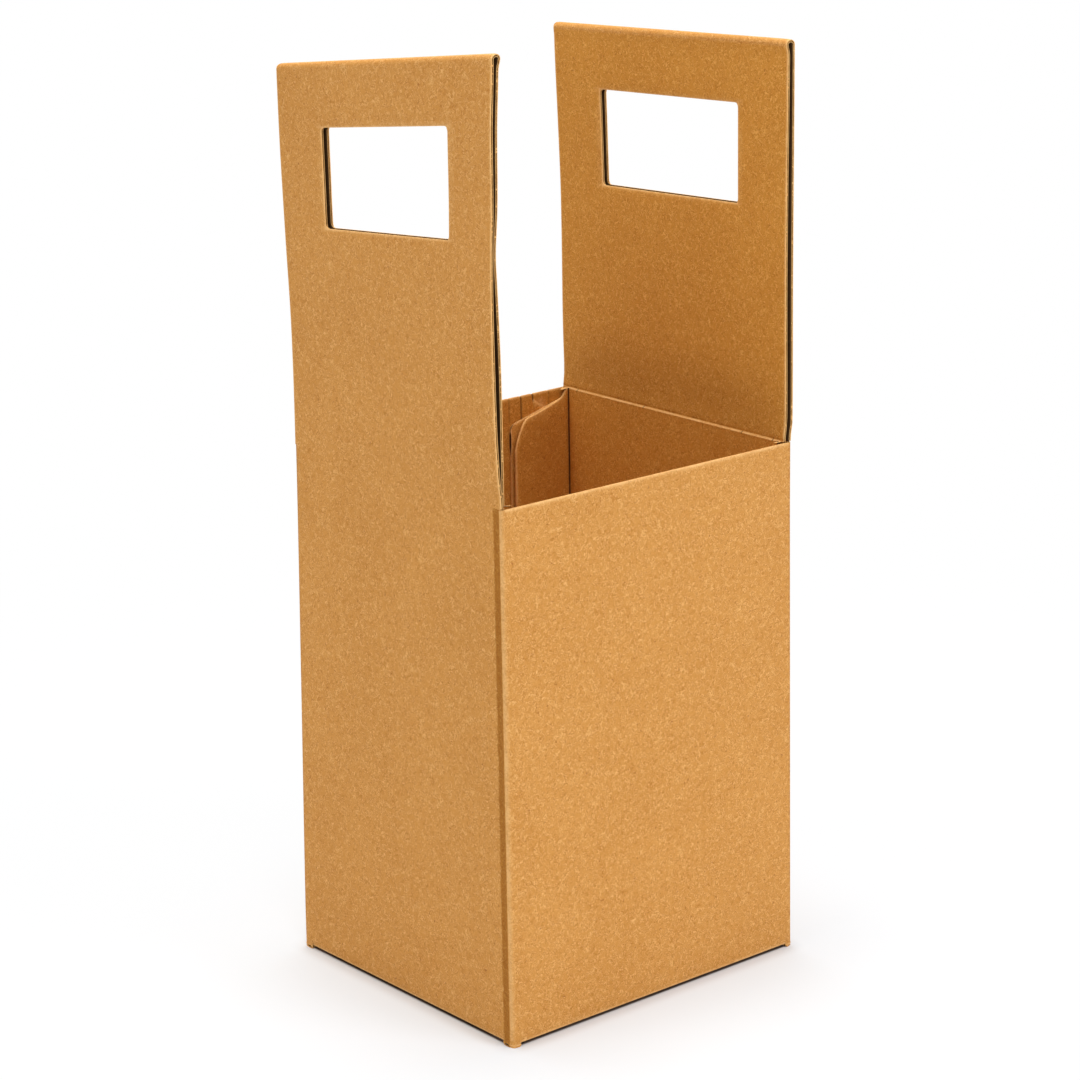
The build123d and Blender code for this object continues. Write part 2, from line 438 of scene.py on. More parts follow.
@dataclass
class CarrierSheet:
    """The whole blank's sizes, and where each of its points goes when it is folded.

    A point of the blank has three coordinates: across, which runs round the walls from the back
    wall's raw edge; along, which is the height on the walls and then runs over the handles and
    down the tucks; and out, which is the distance from the middle of the board to its outer face.
    """

    board: Board = field(default_factory=Board)
    width: float = 159.0
    depth: float = 146.0
    rim: float = 230.0
    bend_top: float = 3.0  # where the walls end and the bottom's folds begin
    seam_setback: float = 0.4

    handle_half: float = 72.0
    ply_gap: float = 1.2
    shoulder_lift: float = 0.4
    ply_run: float = 166.0  # blank length given to each ply
    hole_width: float = 86.0
    hole_corner: float = 2.0
    roll: float = 0.3  # how far the top fold bulges inwards
    front_roll: Mark = Mark(0.6, 9.0)  # more of it, at the fold's front end
    roll_fade: Mark = Mark(1.0, 2.4)  # how the bulge ends down the inner ply
    sway_rise: float = 9.0  # height over the rim at which a handle sways fully

    tuck_depth: float = 110.0
    tuck_step: float = 0.9  # how much further in than the ply above it a tuck hangs
    step_height: float = 0.4
    step_fade: float = 1.5  # width over which the step ends beside a wing
    rim_bead: Mark = Mark(0.08, 0.6, -0.1)  # how far the crease at the rim stands out
    wing_gap: float = 1.2
    wing_reach: float = 37.4
    front_wing_drop: float = 1.8  # how much lower the front wings' tops are cut

    tab_reach: float = 37.9
    tab_drop: float = 12.2
    tab_angle: float = 14.0
    tab_corner: float = 2.8
    tab_gap: Pair = (203.0, 216.0)  # heights between which the tab's edge stands off the wall
    tab_gap_fade: float = 3.0

    outer_drop: float = 0.75  # of the ears below the front and back folds
    side_drop: float = 0.5  # and below the folds of the handle walls
    ear_reach: Pair = (6.3, 4.2)  # from a corner, along a handle wall and along the front
    ear_radius: float = 1.1
    ear_slot: float = 0.2
    ear_slit: tuple[float, float, float, float] = (-3.8, -1.1, 0.45, 1.3)  # from a wall's end
    flap_sag_reach: float = 14.0
    side_flap_rise: float = 4.0  # where the side flaps lie on the outer ones, from a wall
    side_flap_rest: float = 0.3  # room under them
    flap_clearance: float = 0.5
    side_flap_reach: float = 60.0
    side_flap_taper: float = 8.0

    lean: Pair = (3.0, -2.3)  # of the back left corner, where it leans furthest
    lean_share: Sway = Sway(
        (
            (2.0, -0.06), (25.0, 0.0), (120.0, 0.5), (225.0, 1.0), (280.0, 1.08), (320.0, 0.82),
            (360.0, 0.6), (400.0, 0.56),
        )
    )
    bulge: float = 1.5  # of the front right corner, at the floor
    bulge_height: float = 200.0

    def __post_init__(self) -> None:
        """Work out the blank's lines from its sizes."""
        half_board, bend = self.board.half, self.board.bend
        self.half_width, self.half_depth = self.width / 2, self.depth / 2
        mid_x, mid_y = self.half_width - half_board, self.half_depth - half_board
        tab_y = self.half_depth - self.board.thickness - half_board
        self.ring = BentLine(
            [
                (self.half_width - self.seam_setback, mid_y),
                (-mid_x, mid_y),
                (-mid_x, -mid_y),
                (mid_x, -mid_y),
                (mid_x, tab_y),
                (self.half_width - self.tab_reach, tab_y),
            ],
            bend,
        )
        runs = [piece for piece in self.ring.pieces if not piece[4]]
        self.back_end = runs[0][0] + runs[0][1]
        self.left_middle = runs[1][0] + runs[1][2].y
        self.left_start, self.left_end = runs[1][0], runs[1][0] + runs[1][1]
        self.front_start, self.front_end = runs[2][0], runs[2][0] + runs[2][1]
        self.front_middle = runs[2][0] - runs[2][2].x
        self.right_start, self.right_end = runs[3][0], runs[3][0] + runs[3][1]
        self.right_middle = runs[3][0] - runs[3][2].y
        self.tab_start, self.tab_end = runs[4][0], self.ring.length
        self.back_middle = runs[0][2].x
        self.wall_half = (self.left_end - self.left_start) / 2

        self.foot = self.rim + self.shoulder_lift  # where the inner plies end
        self.inner_offset = self.board.thickness + self.ply_gap
        self.fold_radius = self.inner_offset / 2
        self.fold_start = self.rim + self.ply_run
        self.fold_end = self.fold_start + math.pi * self.fold_radius
        self.shoulder = self.fold_end + self.ply_run
        self.tuck_end = self.shoulder + self.tuck_depth
        self.tuck_offset = self.inner_offset + half_board + self.tuck_step
        self.wing_origin = self.tuck_offset - half_board  # what a wing's reach counts from
        self.hinge = {
            -1: self.half_depth - self.board.thickness - self.wing_gap - half_board - bend,
            1: self.half_depth - 2 * self.board.thickness - self.wing_gap - half_board - bend,
        }
        self.wing_length = self.wing_reach - self.tuck_offset - bend
        side_level = self.board.thickness + half_board + self.side_flap_rest
        self.outer_flap = BentLine(
            [
                (mid_y, self.bend_top),
                (mid_y, self.outer_drop + half_board),
                (self.half_depth - self.flap_sag_reach, half_board),
                (self.flap_clearance / 2, half_board),
            ],
            bend,
        )
        self.side_flap = BentLine(
            [
                (mid_x, self.bend_top),
                (mid_x, self.side_drop + half_board),
                (mid_x - self.side_flap_rise, side_level),
                (self.half_width - self.side_flap_reach, side_level),
            ],
            bend,
        )
        self.outer_flap_half = self.half_width - self.ear_reach[1] - self.ear_slot
        self.side_flap_half = self.half_depth - self.ear_reach[0] - self.ear_slot
        self.side_flap_root = (
            self.half_depth - self.flap_sag_reach - 2 * self.board.thickness
        )
        self.holes = {side: self.hole_corners(side) for side in Side}
        self.corners = (
            (self.back_end, self.left_start),
            (self.left_end, self.front_start),
            (self.front_end, self.right_start),
            (self.right_end, self.tab_start),
        )
        self.ears = self._ears()

    # Places on the blank

    def _ears(self) -> list[Pair]:
        """Give where each corner ear starts and ends across the blank.

        Returns:
            Pairs of columns.
        """
        corner = self.board.half + self.board.bend
        side_leg, front_leg = (reach - corner for reach in self.ear_reach)
        ears = [(-1.0, self.ear_reach[1] - self.seam_setback)]
        for start, end in self.corners:
            to_side = end in (self.left_start, self.right_start)
            before, after = (front_leg, side_leg) if to_side else (side_leg, front_leg)
            ears.append((start - before, end + after))
        return ears

    def handle_place(self, across: float) -> tuple[Side, float]:
        """Say which handle a column of the blank belongs to, and its Y once folded.

        Args:
            across: Place across the blank.

        Returns:
            The handle and the Y.
        """
        if abs(across - self.left_middle) < abs(across - self.right_middle):
            return Side.LEFT, self.left_middle - across
        return Side.RIGHT, across - self.right_middle

    def handle_column(self, side: Side, y: float) -> float:
        """Give the column of the blank that folds to a Y on a handle."""
        return self.left_middle - y if side is Side.LEFT else self.right_middle + y

    def hinge_at(self, y: float) -> float:
        """Give how far from a tuck's middle its wing's fold starts, on the side of a Y."""
        return self.hinge[-1 if y < 0 else 1]

    def corner_distance(self, across: float) -> float:
        """Give how far a column of the blank is from the nearest corner's round."""
        return min(max(start - across, across - end, 0.0) for start, end in self.corners)

    def has_ear(self, across: float) -> bool:
        """Say whether a column of the blank ends in a corner's ear."""
        return any(first < across < last for first, last in self.ears)

    def bottom_bend(self, across: float) -> Pair:
        """Give the rows where the bend into a column's bottom flap starts and ends.

        Args:
            across: Place across the blank.

        Returns:
            The upper row and the lower one.
        """
        on_side = min(abs(across - self.left_middle), abs(across - self.right_middle))
        flap = self.side_flap if on_side < self.wall_half else self.outer_flap
        start, length = flap.pieces[1][:2]
        return self.bend_top - start, self.bend_top - start - length

    def shape(self, side: Side) -> HandleShape:
        """Give one handle's own shape."""
        return LEFT_HANDLE if side is Side.LEFT else RIGHT_HANDLE

    def share_back(self, y: float) -> float:
        """Give how far towards a handle's back a Y is, from 0 to 1."""
        return (y + self.handle_half) / (2 * self.handle_half)

    def fold_level(self, side: Side, y: float) -> float:
        """Give the height of the middle of the top fold's round, at a Y.

        Args:
            side: The handle.
            y: The place's Y, negative at the front.

        Returns:
            The height above the floor.
        """
        height = self.shape(side).height(self.share_back(y))
        return self.rim + height - self.board.half - self.fold_radius

    def outer_row(self, side: Side, y: float, z: float) -> float:
        """Give the row of the blank that folds to a height on a handle's outer ply."""
        return self.rim + (z - self.rim) * self.ply_run / (self.fold_level(side, y) - self.rim)

    def inner_row(self, side: Side, y: float, z: float) -> float:
        """Give the row of the blank that folds to a height on a handle's inner ply.

        Args:
            side: The handle.
            y: The place's Y, negative at the front.
            z: Height above the floor.

        Returns:
            The row.
        """
        top = self.fold_level(side, y)
        return self.fold_end + (top - z) * self.ply_run / (top - self.foot)

    def tuck_row(self, z: float) -> float:
        """Give the row of the blank that folds to a height on a tuck."""
        return self.shoulder + self.foot - z

    def hole_corners(self, side: Side) -> list[Pair]:
        """Give a hand hole's sharp corners on the folded handle.

        Args:
            side: The handle.

        Returns:
            Four corners as Y and height, anticlockwise.
        """
        shape = self.shape(side)
        corners: list[Pair] = []
        for sign, height in zip((-1, 1), shape.hole_sides):
            y = shape.hole_shift + sign * self.hole_width / 2
            top = self.rim + shape.height(self.share_back(y)) - shape.hole_drop
            ends = [(y, top), (y, top - height)]
            corners += ends if sign < 0 else ends[::-1]
        return corners

    def cut_distance(self, across: float, along: float) -> float:
        """Give how far a point of the blank is from the nearest cut edge that shows.

        Args:
            across: Place across the blank.
            along: Place along the blank.

        Returns:
            The distance.
        """
        if along > self.rim + self.shoulder_lift / 2:
            side, y = self.handle_place(across)
            if along > self.shoulder:
                beyond = abs(y) - self.hinge_at(y)
                if beyond < 0:
                    return self.tuck_end - along
                far = beyond - self.board.fold_run
                drop = along - self.shoulder - self.shoulder_lift - self.wing_top(beyond, y)
                return max(0.0, min(self.wing_length - far, drop, self.tuck_end - along))
            edge = self.handle_half - abs(y)
            top = self.fold_level(side, y)
            if along < self.fold_start:
                z = self.rim + (along - self.rim) * (top - self.rim) / self.ply_run
            elif along > self.fold_end:
                z = top - (along - self.fold_end) * (top - self.foot) / self.ply_run
            else:
                return edge
            return min(edge, max(outside_by(self.holes[side], y, z), 0.0))
        if across < self.back_end or self.front_start < across < self.front_end:
            return abs(self.rim - along)
        if across > self.tab_start:
            above = self.tab_edge(across, 1) - along
            return max(min(self.tab_end - across, above, along - self.tab_edge(across, -1)), 0.0)
        return FAR_OFF

    def tab_edge(self, across: float, sign: int) -> float:
        """Give the row of the tab's sloping top or bottom edge.

        Args:
            across: Place across the blank.
            sign: 1 for the top edge and -1 for the bottom one.

        Returns:
            The row, as if the tab's corners were sharp.
        """
        level = self.rim - self.tab_drop if sign > 0 else self.bend_top + self.tab_drop
        return level + sign * math.tan(math.radians(self.tab_angle)) * (self.tab_end - across)

    # Folding

    def folded(self, across: float, along: float, out: float) -> Vector:
        """Carry a point of the blank to its place in the folded carrier.

        Args:
            across: Place round the walls.
            along: Place up the walls and over the handles.
            out: Distance from the middle of the board towards its outer face.

        Returns:
            The point in millimetres.
        """
        if along > self.rim:
            point = self._on_handle(across, along, out)
        elif along < self.bend_top:
            point = self._on_bottom(across, along, out)
        else:
            point = self.ring.at(across, out).to_3d()
            point.z = along
        return self._leaning(point)

    def _on_handle(self, across: float, along: float, out: float) -> Vector:
        """Fold a point above the rim: a handle's plies, its top fold, its tuck or a wing.

        Args:
            across: Place across the blank.
            along: Place along the blank.
            out: Distance from the middle of the board.

        Returns:
            The point, before the corners lean.
        """
        side, y = self.handle_place(across)
        shape, top = self.shape(side), self.fold_level(side, y)
        half_board = self.board.half
        inner = 0.0
        if along <= self.fold_start:
            z = self.rim + (along - self.rim) / self.ply_run * (top - self.rim)
            depth = half_board - out
        elif along <= self.fold_end:
            angle = (along - self.fold_start) / self.fold_radius
            reach = self.fold_radius + self._roll(y) / 2
            depth = half_board + reach - (reach + out) * math.cos(angle)
            z = top + (self.fold_radius + out) * math.sin(angle)
            inner = ease(angle / math.pi)
        elif along <= self.shoulder:
            inner = 1.0
            z = top - (along - self.fold_end) / self.ply_run * (top - self.foot)
            depth = self.inner_offset + half_board + out + self._step(y, z)
            depth += self._roll(y) * self.roll_fade.at(top - z)
        else:
            return self._on_tuck(side, y, along, out)
        front = blend(shape.front_sway.at(z), shape.inner_front_sway.at(z), inner)
        sway = blend(front, shape.back_sway.at(z), self.share_back(y))
        inset = shape.inner_inset.at(z) * inner * (abs(y) / self.handle_half) ** 3
        sway *= ease((z - self.rim) / self.sway_rise)
        x = side.value * (self.half_width - depth) + sway
        return Vector((x, y - math.copysign(inset, y), z))

    def _roll(self, y: float) -> float:
        """Give how far the top fold bulges inwards at a Y."""
        return self.roll + self.front_roll.at(y + self.handle_half)

    def _step(self, y: float, z: float) -> float:
        """Give how far the crease at the rim has pushed the inner ply inwards.

        Args:
            y: The place's Y, negative at the front.
            z: Height above the floor.

        Returns:
            The distance.
        """
        rise = z - self.foot
        step = self.tuck_step * ease(1.0 - rise / self.step_height) + self.rim_bead.at(rise)
        return step * ease((self.hinge_at(y) - abs(y)) / self.step_fade + 1.0)

    def _on_tuck(self, side: Side, y: float, along: float, out: float) -> Vector:
        """Fold a point of a tuck panel or of one of its wings.

        Args:
            side: The handle.
            y: The place's Y, negative at the front.
            along: Place along the blank.
            out: Distance from the middle of the board.

        Returns:
            The point, before the corners lean.
        """
        bend = self.board.bend
        z = self.foot - (along - self.shoulder)
        beyond = abs(y) - self.hinge_at(y)
        bead = self.rim_bead.at(self.shoulder - along) * ease(-beyond / self.step_fade)
        depth = self.tuck_offset + out + bead
        reach = abs(y)
        if beyond > 0:
            turn = min(beyond / bend, math.pi / 2)
            reach = self.hinge_at(y) + (bend - out) * math.sin(turn)
            depth = self.tuck_offset + bend - (bend - out) * math.cos(turn)
            depth += max(beyond - self.board.fold_run, 0.0)
        return Vector((side.value * (self.half_width - depth), math.copysign(reach, y), z))

    def _on_bottom(self, across: float, along: float, out: float) -> Vector:
        """Fold a point below the walls: a bottom flap, or an ear at a corner.

        Args:
            across: Place across the blank.
            along: Place along the blank.
            out: Distance from the middle of the board.

        Returns:
            The point, before the corners lean.
        """
        travelled = self.bend_top - along
        slack = self.ear_slot / 2 if along > -0.01 else 2.0
        for middle, sign in ((self.front_middle, -1), (self.back_middle, 1)):
            place = across - middle
            if abs(place) < self.outer_flap_half + slack:
                point = self.outer_flap.at(travelled, -out)
                return Vector((-sign * place, sign * point.x, point.y))
        for middle, sign in ((self.left_middle, -1), (self.right_middle, 1)):
            place = across - middle
            if abs(place) < self.side_flap_half + slack:
                point = self.side_flap.at(travelled, -out)
                share = max(travelled - self.side_flap.pieces[2][0], 0.0)
                share /= self.side_flap.length - self.side_flap.pieces[2][0]
                place *= 1.0 - self.side_flap_taper / self.side_flap_root * share
                return Vector((sign * point.x, sign * place, point.y))
        point = self.ring.at(across, out).to_3d()
        point.z = along
        return point

    def _leaning(self, point: Vector) -> Vector:
        """Lean the back left corner and push out the front right corner's foot.

        Args:
            point: The folded point.

        Returns:
            The moved point.
        """
        from_right = (self.half_width - point.x) / self.width
        from_front = (self.half_depth + point.y) / self.depth
        lean = from_right * from_front * self.lean_share.at(point.z)
        swell = (1.0 - from_right) * (1.0 - from_front)
        swell *= max(1.0 - point.z / self.bulge_height, 0.0)
        moved = point.copy()
        moved.x += self.lean[0] * lean + self.bulge * swell
        moved.y += self.lean[1] * lean
        return moved

    def wing_top(self, beyond: float, y: float) -> float:
        """Give how far a wing's cut top is below the rim.

        Args:
            beyond: Distance past the wing's hinge.
            y: The place on the tuck, negative for a front wing.

        Returns:
            The drop below the rim.
        """
        reach = beyond + self.wing_origin
        lower = self.front_wing_drop if y < 0 else 0.0
        for (r0, d0), (r1, d1) in zip(WING_TOP, WING_TOP[1:]):
            if reach <= r1:
                return lower + blend(d0, d1, max(reach - r0, 0.0) / (r1 - r0))
        return lower + WING_TOP[-1][1]


class Blank:
    """One layer of the sheet while it lies flat, cut from a grid."""

    line_margin: float = 0.02  # how far beside a line cells are still cut
    hole_margin: float = 0.05

    def __init__(self, columns: list[float], rows: list[float]) -> None:
        """Start from a grid whose lines stand at the given places.

        Args:
            columns: Places across the blank.
            rows: Places along the blank.
        """
        self.mesh: BMesh = bmesh.new()
        bmesh.ops.create_grid(
            self.mesh, x_segments=len(columns) - 1, y_segments=len(rows) - 1, size=0.5
        )
        self.widest = max(after - before for before, after in zip(columns, columns[1:]))
        self.longest = max(after - before for before, after in zip(rows, rows[1:]))
        for vert in self.mesh.verts:
            vert.co.x = columns[round((vert.co.x + 0.5) * (len(columns) - 1))]
            vert.co.y = rows[round((vert.co.y + 0.5) * (len(rows) - 1))]

    def drop(
        self,
        waste: Callable[[float, float], bool],
        faces: Optional[Iterable[BMFace]] = None,
    ) -> None:
        """Delete the cells whose centres are waste.

        Args:
            waste: Says of a place across and along whether it is waste.
            faces: The cells to look at, or all of them.
        """
        gone = []
        for face in faces or self.mesh.faces:
            centre = face.calc_center_median()
            if waste(centre.x, centre.y):
                gone.append(face)
        bmesh.ops.delete(self.mesh, geom=gone, context="FACES")

    def slice(self, line: list[Pair], margin: float = line_margin) -> None:
        """Cut the cells near a line of straight runs along it.

        Args:
            line: The line's corners on the blank, in order.
            margin: How far past a run's ends cells are still cut.
        """
        faces = self.near(line, margin)
        for start, end in zip(line, line[1:]):
            near = self.near([start, end], margin, faces)
            faces -= near
            edges = {edge for face in near for edge in face.edges}
            verts = {vert for face in near for vert in face.verts}
            cut = bmesh.ops.bisect_plane(
                self.mesh,
                geom=[*near, *edges, *verts],
                dist=1e-4,
                plane_co=(*start, 0.0),
                plane_no=Vector((end[1] - start[1], start[0] - end[0], 0.0)).normalized(),
            )
            faces |= {item for item in cut["geom"] if isinstance(item, BMFace)}

    def near(
        self, line: list[Pair], margin: float, faces: Optional[Iterable[BMFace]] = None
    ) -> set[BMFace]:
        """Pick the cells that lie within a margin of the box round a line.

        Args:
            line: The line's corners on the blank.
            margin: The margin.
            faces: The cells to pick from, or all of them.

        Returns:
            The picked cells.
        """
        low_x, high_x = min(x for x, _ in line) - margin, max(x for x, _ in line) + margin
        low_y, high_y = min(y for _, y in line) - margin, max(y for _, y in line) + margin
        near = set()
        for face in self.mesh.faces if faces is None else faces:
            place = face.verts[0].co
            if not low_x - self.widest < place.x < high_x + self.widest:
                continue
            if not low_y - self.longest < place.y < high_y + self.longest:
                continue
            places = [vert.co for vert in face.verts]
            if (
                max(place.x for place in places) > low_x
                and min(place.x for place in places) < high_x
                and max(place.y for place in places) > low_y
                and min(place.y for place in places) < high_y
            ):
                near.add(face)
        return near

    def punch(self, outline: list[Pair]) -> None:
        """Cut a hole with an outline that bulges outwards everywhere.

        Args:
            outline: The hole's corners on the blank, in order.
        """
        self.slice([*outline, outline[0]], self.hole_margin)
        near = self.near(outline, self.hole_margin)
        self.drop(lambda across, along: inside(outline, across, along), near)


class Layer(Enum):
    """The three layers of the board."""

    OUTER_LINER = "outer_liner"
    FLUTED_MEDIUM = "fluted_medium"
    INNER_LINER = "inner_liner"


@dataclass(frozen=True)
class GridLines:
    """Where the flat grid has lines, besides those on the blank's own creases and corners."""

    liner_cell: float = 5.0
    medium_cell: float = 15.0
    flute_steps: int = 4  # columns to a flute
    corner_step: float = 0.35  # columns round a wall's corner
    beside_corner: Pair = (0.7, 1.6)
    band_step: float = 0.45  # columns over the dented band
    band_margin: float = 1.4
    beside_nick: Triple = (-0.4, 0.0, 0.4)
    beside_crease: tuple[float, ...] = (-0.9, -0.3, 0.0, 0.3, 0.9)
    in_from_edge: tuple[float, ...] = (0.0, 0.4, 1.0, 2.0)
    beside_hole: Pair = (-0.5, 0.5)
    hinge_step: float = 0.3  # columns round a wing's fold
    before_hinge: float = 0.7
    in_from_wing_end: Pair = (0.0, 0.5)
    over_floor: tuple[float, ...] = (0.0, 0.4, 0.75, 1.45)  # rows through the ears
    over_bend: Triple = (0.6, 1.3, 2.2)
    flap_step: float = 0.26  # rows round a bottom flap's bends
    below_rim: tuple[float, ...] = (0.4, 1.0, 2.0, 8.0, 10.0, 12.0, 16.5)
    over_rim: tuple[float, ...] = (1.5, 3.0, 5.0, 8.0, 12.0)
    fold_step: float = 0.4  # rows over a handle's top
    below_fold_step: float = 1.2
    ledge_step: float = 0.2  # rows over the crease at the rim
    beside_ledge: Pair = (1.6, 3.0)
    over_tuck_end: Pair = (0.5, 1.2)
    least_columns: Pair = (0.5, 0.38)  # room beside a fixed column, in liners and medium
    least_rows: Pair = (0.12, 0.4)


@dataclass
class SheetMaker:
    """Cuts the blank's layers, folds them and makes them into pieces."""

    sheet: CarrierSheet
    grid: GridLines = GridLines()
    edge_strip: float = 0.7  # width of the rubbed strip beside a cut edge
    wander: tuple[Triple, ...] = ((0.9, 7.3, 0.0), (0.6, 2.9, 1.0))  # of the cut over the flutes
    wander_reach: float = 6.0

    marked_reach: float = 45.0  # of the back wall beside its seam, which is creased and torn
    creased: tuple[Triple, ...] = (  # the back wall's short creases: place, depth, strength
        (37.6, 12.0, 0.4),
        (30.3, 16.5, 1.0),
        (23.2, 4.0, 1.0),
        (13.5, 8.0, 0.35),
    )
    crease_fade: float = 2.0  # height over which a short crease runs out
    crease_nick: float = 0.35  # how far it nicks the rim
    crease_dent: float = 0.3
    crease_widths: Triple = (0.3, 0.4, 0.45)  # of its shade, its nick and its dent
    torn: tuple[Pair, ...] = ((22.9, 3.0), (15.7, 7.3), (24.4, 10.6))  # a torn flap's corners
    torn_lift: float = 0.35
    torn_inside: float = 0.94  # share of the flap that is fully lifted
    torn_slices: Triple = (1.14, 1.0, 0.92)
    nicked: tuple[float, ...] = (61.0, 16.0, -47.0, -66.0)  # along the right tuck's crease
    nick_half: Pair = (0.3, 0.5)  # across and along

    band: Pair = (4.3, 0.65)  # the dented band beside the near corner, back from its round, darkened with painted shade
    band_fades: Pair = (2.4, 0.3)  # widths over which its sides fade
    band_reach: float = 40.0  # to both sides of the near corner, which has no other mark
    band_dent: Mark = Mark(-0.24, 1.5)

    # Pale marks: wear at cut edges and at the torn flap, and painted highlights along the rim, the
    # bottom folds, the ledge, the near corner and the top fold, with wear at the rim and the top
    # fold as well
    rubbed_cut: Mark = Mark(1.0, 0.55)
    rim_wear_and_highlight: Mark = Mark(1.0, 0.8)
    bottom_fold_highlight: Mark = Mark(1.0, 0.4)
    rubbed_torn: Mark = Mark(1.0, 0.5)
    ledge_highlight: Mark = Mark(0.95, 0.35, -0.15)
    corner_highlight: Mark = Mark(0.75, 0.9, 0.2)
    fold_wear_and_highlight: Mark = Mark(1.0, 0.6, -0.2)
    fold_wear_and_highlight_share: float = 0.55  # share of that along the whole fold
    fold_wear_and_highlight_front: Mark = Mark(0.45, 20.0)  # and more of it at the front
    # Painted shade at the corners' creases, over the crease at the rim and beside the top fold
    corner_crease_shade: Mark = Mark(0.35, 0.8)
    ledge_crease_shade: Mark = Mark(0.6, 0.7, -1.0)
    fold_crease_shade: Mark = Mark(0.25, 0.8, -1.0)
    hinge_line: Mark = Mark(1.0, 0.55)
    hinge_dent: float = -0.35
    bottom_bead: Mark = Mark(0.16, 0.4, 0.1)
    bottom_crest: float = 0.3  # how far down a bottom bend its crest is
    ear_crest: float = 1.1

    hidden_shade: Pair = (0.6, 0.6)  # of a liner's hidden side, and where it is full
    gape_shade: float = 0.97
    slit_shade: float = 0.95
    nick_shade: float = 0.85
    ply_shade: float = 0.92  # between a handle's plies
    ledge_shade: Pair = (0.14, 40.0)  # over the crease at the rim, and how far up

    ticks: int = 34  # flute walls showing along each long cut edge
    tick_seed: int = 11
    tick_inset: float = 0.45
    tick_depth: float = 0.75
    tick_width: Pair = (0.22, 0.6)
    tick_tilt: float = 0.5
    tick_end: float = 0.8  # room at an edge's ends

    def columns(self, layer: Layer) -> list[float]:
        """Choose the grid's columns.

        Args:
            layer: The layer that the grid is for.

        Returns:
            Places across the blank.
        """
        sheet, grid = self.sheet, self.grid
        lines = [0.0, sheet.tab_end, sheet.tab_end - self.edge_strip, *self._handle_columns()]
        for start, end in sheet.corners:
            lines += span(start, end, grid.corner_step)
            for gap in grid.beside_corner:
                lines += [start - gap, end + gap]
        band_start = sheet.left_end - self.band[0] - grid.band_margin
        lines += span(band_start, sheet.left_end, grid.band_step)
        for y in self.nicked:
            lines += [sheet.handle_column(Side.RIGHT, y + offset) for offset in grid.beside_nick]
        for middle, half in (
            (sheet.back_middle, sheet.outer_flap_half),
            (sheet.front_middle, sheet.outer_flap_half),
            (sheet.left_middle, sheet.side_flap_half),
            (sheet.right_middle, sheet.side_flap_half),
        ):
            lines += [middle - half, middle + half]
            lines += [middle - half - sheet.ear_slot, middle + half + sheet.ear_slot]
        for middle in (sheet.left_middle, sheet.right_middle):
            lines += [middle - sheet.side_flap_root, middle + sheet.side_flap_root]
        liner_least, medium_least = grid.least_columns
        if layer is Layer.FLUTED_MEDIUM:
            step = sheet.board.flute_pitch / grid.flute_steps
            return filled(lines, span(0.0, sheet.tab_end, step), medium_least)
        for place, _, _ in self.creased:
            lines += [place - sheet.seam_setback + offset for offset in grid.beside_crease]
        return filled(lines, span(0.0, sheet.tab_end, grid.liner_cell), liner_least)

    def _handle_columns(self) -> list[float]:
        """Choose the columns at the handles' side edges and the wings' hinges.

        Returns:
            Places across the blank.
        """
        sheet, grid, lines = self.sheet, self.grid, []
        for side in Side:
            for sign in (-1, 1):
                hinge = sheet.hinge[sign]
                turned = hinge + sheet.board.fold_run
                places = [sheet.handle_half - gap for gap in grid.in_from_edge]
                places += [hinge - grid.before_hinge, *span(hinge, turned, grid.hinge_step)]
                places += [turned + sheet.wing_length - gap for gap in grid.in_from_wing_end]
                places += [hinge + reach - sheet.wing_origin for reach, _ in WING_TOP[1:-1]]
                lines += [sheet.handle_column(side, sign * place) for place in places]
                for offset in grid.beside_hole:
                    y = sheet.holes[side][1 + sign][0] + offset
                    lines.append(sheet.handle_column(side, y))
        return lines

    def rows(self, layer: Layer) -> list[float]:
        """Choose the grid's rows.

        Args:
            layer: The layer that the grid is for.

        Returns:
            Places along the blank.
        """
        sheet, grid = self.sheet, self.grid
        hidden = layer is Layer.FLUTED_MEDIUM
        cell = grid.medium_cell if hidden else grid.liner_cell
        tall, fine = (4 * cell, 3.0) if hidden else (cell, 1.0)
        floor, rim, ledge = sheet.bend_top, sheet.rim, sheet.shoulder
        lines = [sheet.ear_radius, rim, sheet.foot, *grid.over_floor]
        lines += [floor + gap for gap in grid.over_bend]
        lines += [rim - gap for gap in grid.below_rim]
        lines += [rim + gap for gap in grid.over_rim]
        lines += [ledge + sign * gap for gap in grid.beside_ledge for sign in (-1, 1)]
        lines += [sheet.tuck_end - gap for gap in grid.over_tuck_end]
        for flap in (sheet.outer_flap, sheet.side_flap):
            lines.append(floor - flap.length)
            for start, length, _, _, turn in flap.pieces:
                if turn:
                    bend = span(start, start + length, grid.flap_step)
                    lines += [floor - place for place in bend]
        for start, end, step in (
            (floor - sheet.outer_flap.length, floor - 8.0, 3 * cell),
            (floor + grid.over_bend[-1], rim - 2.0, tall),
            (rim + grid.over_rim[-1], sheet.fold_start - 2.0, cell),
            (sheet.fold_start - 1.0, sheet.fold_start, 1.0),
            (sheet.fold_start, sheet.fold_end, grid.fold_step),
            (sheet.fold_end, sheet.fold_end + 6.0, grid.below_fold_step),
            (sheet.fold_end + 6.0, ledge - 6.0, cell),
            (ledge - 1.2, ledge + 1.2, grid.ledge_step * fine),
            (ledge + grid.beside_ledge[-1], sheet.tuck_end, tall),
        ):
            lines += span(start, end, step)
        for side in Side:
            for row_of in (sheet.outer_row, sheet.inner_row):
                lines += [row_of(side, y, z) for y, z in sheet.holes[side]]
        return merged(lines, grid.least_rows[1 if hidden else 0])

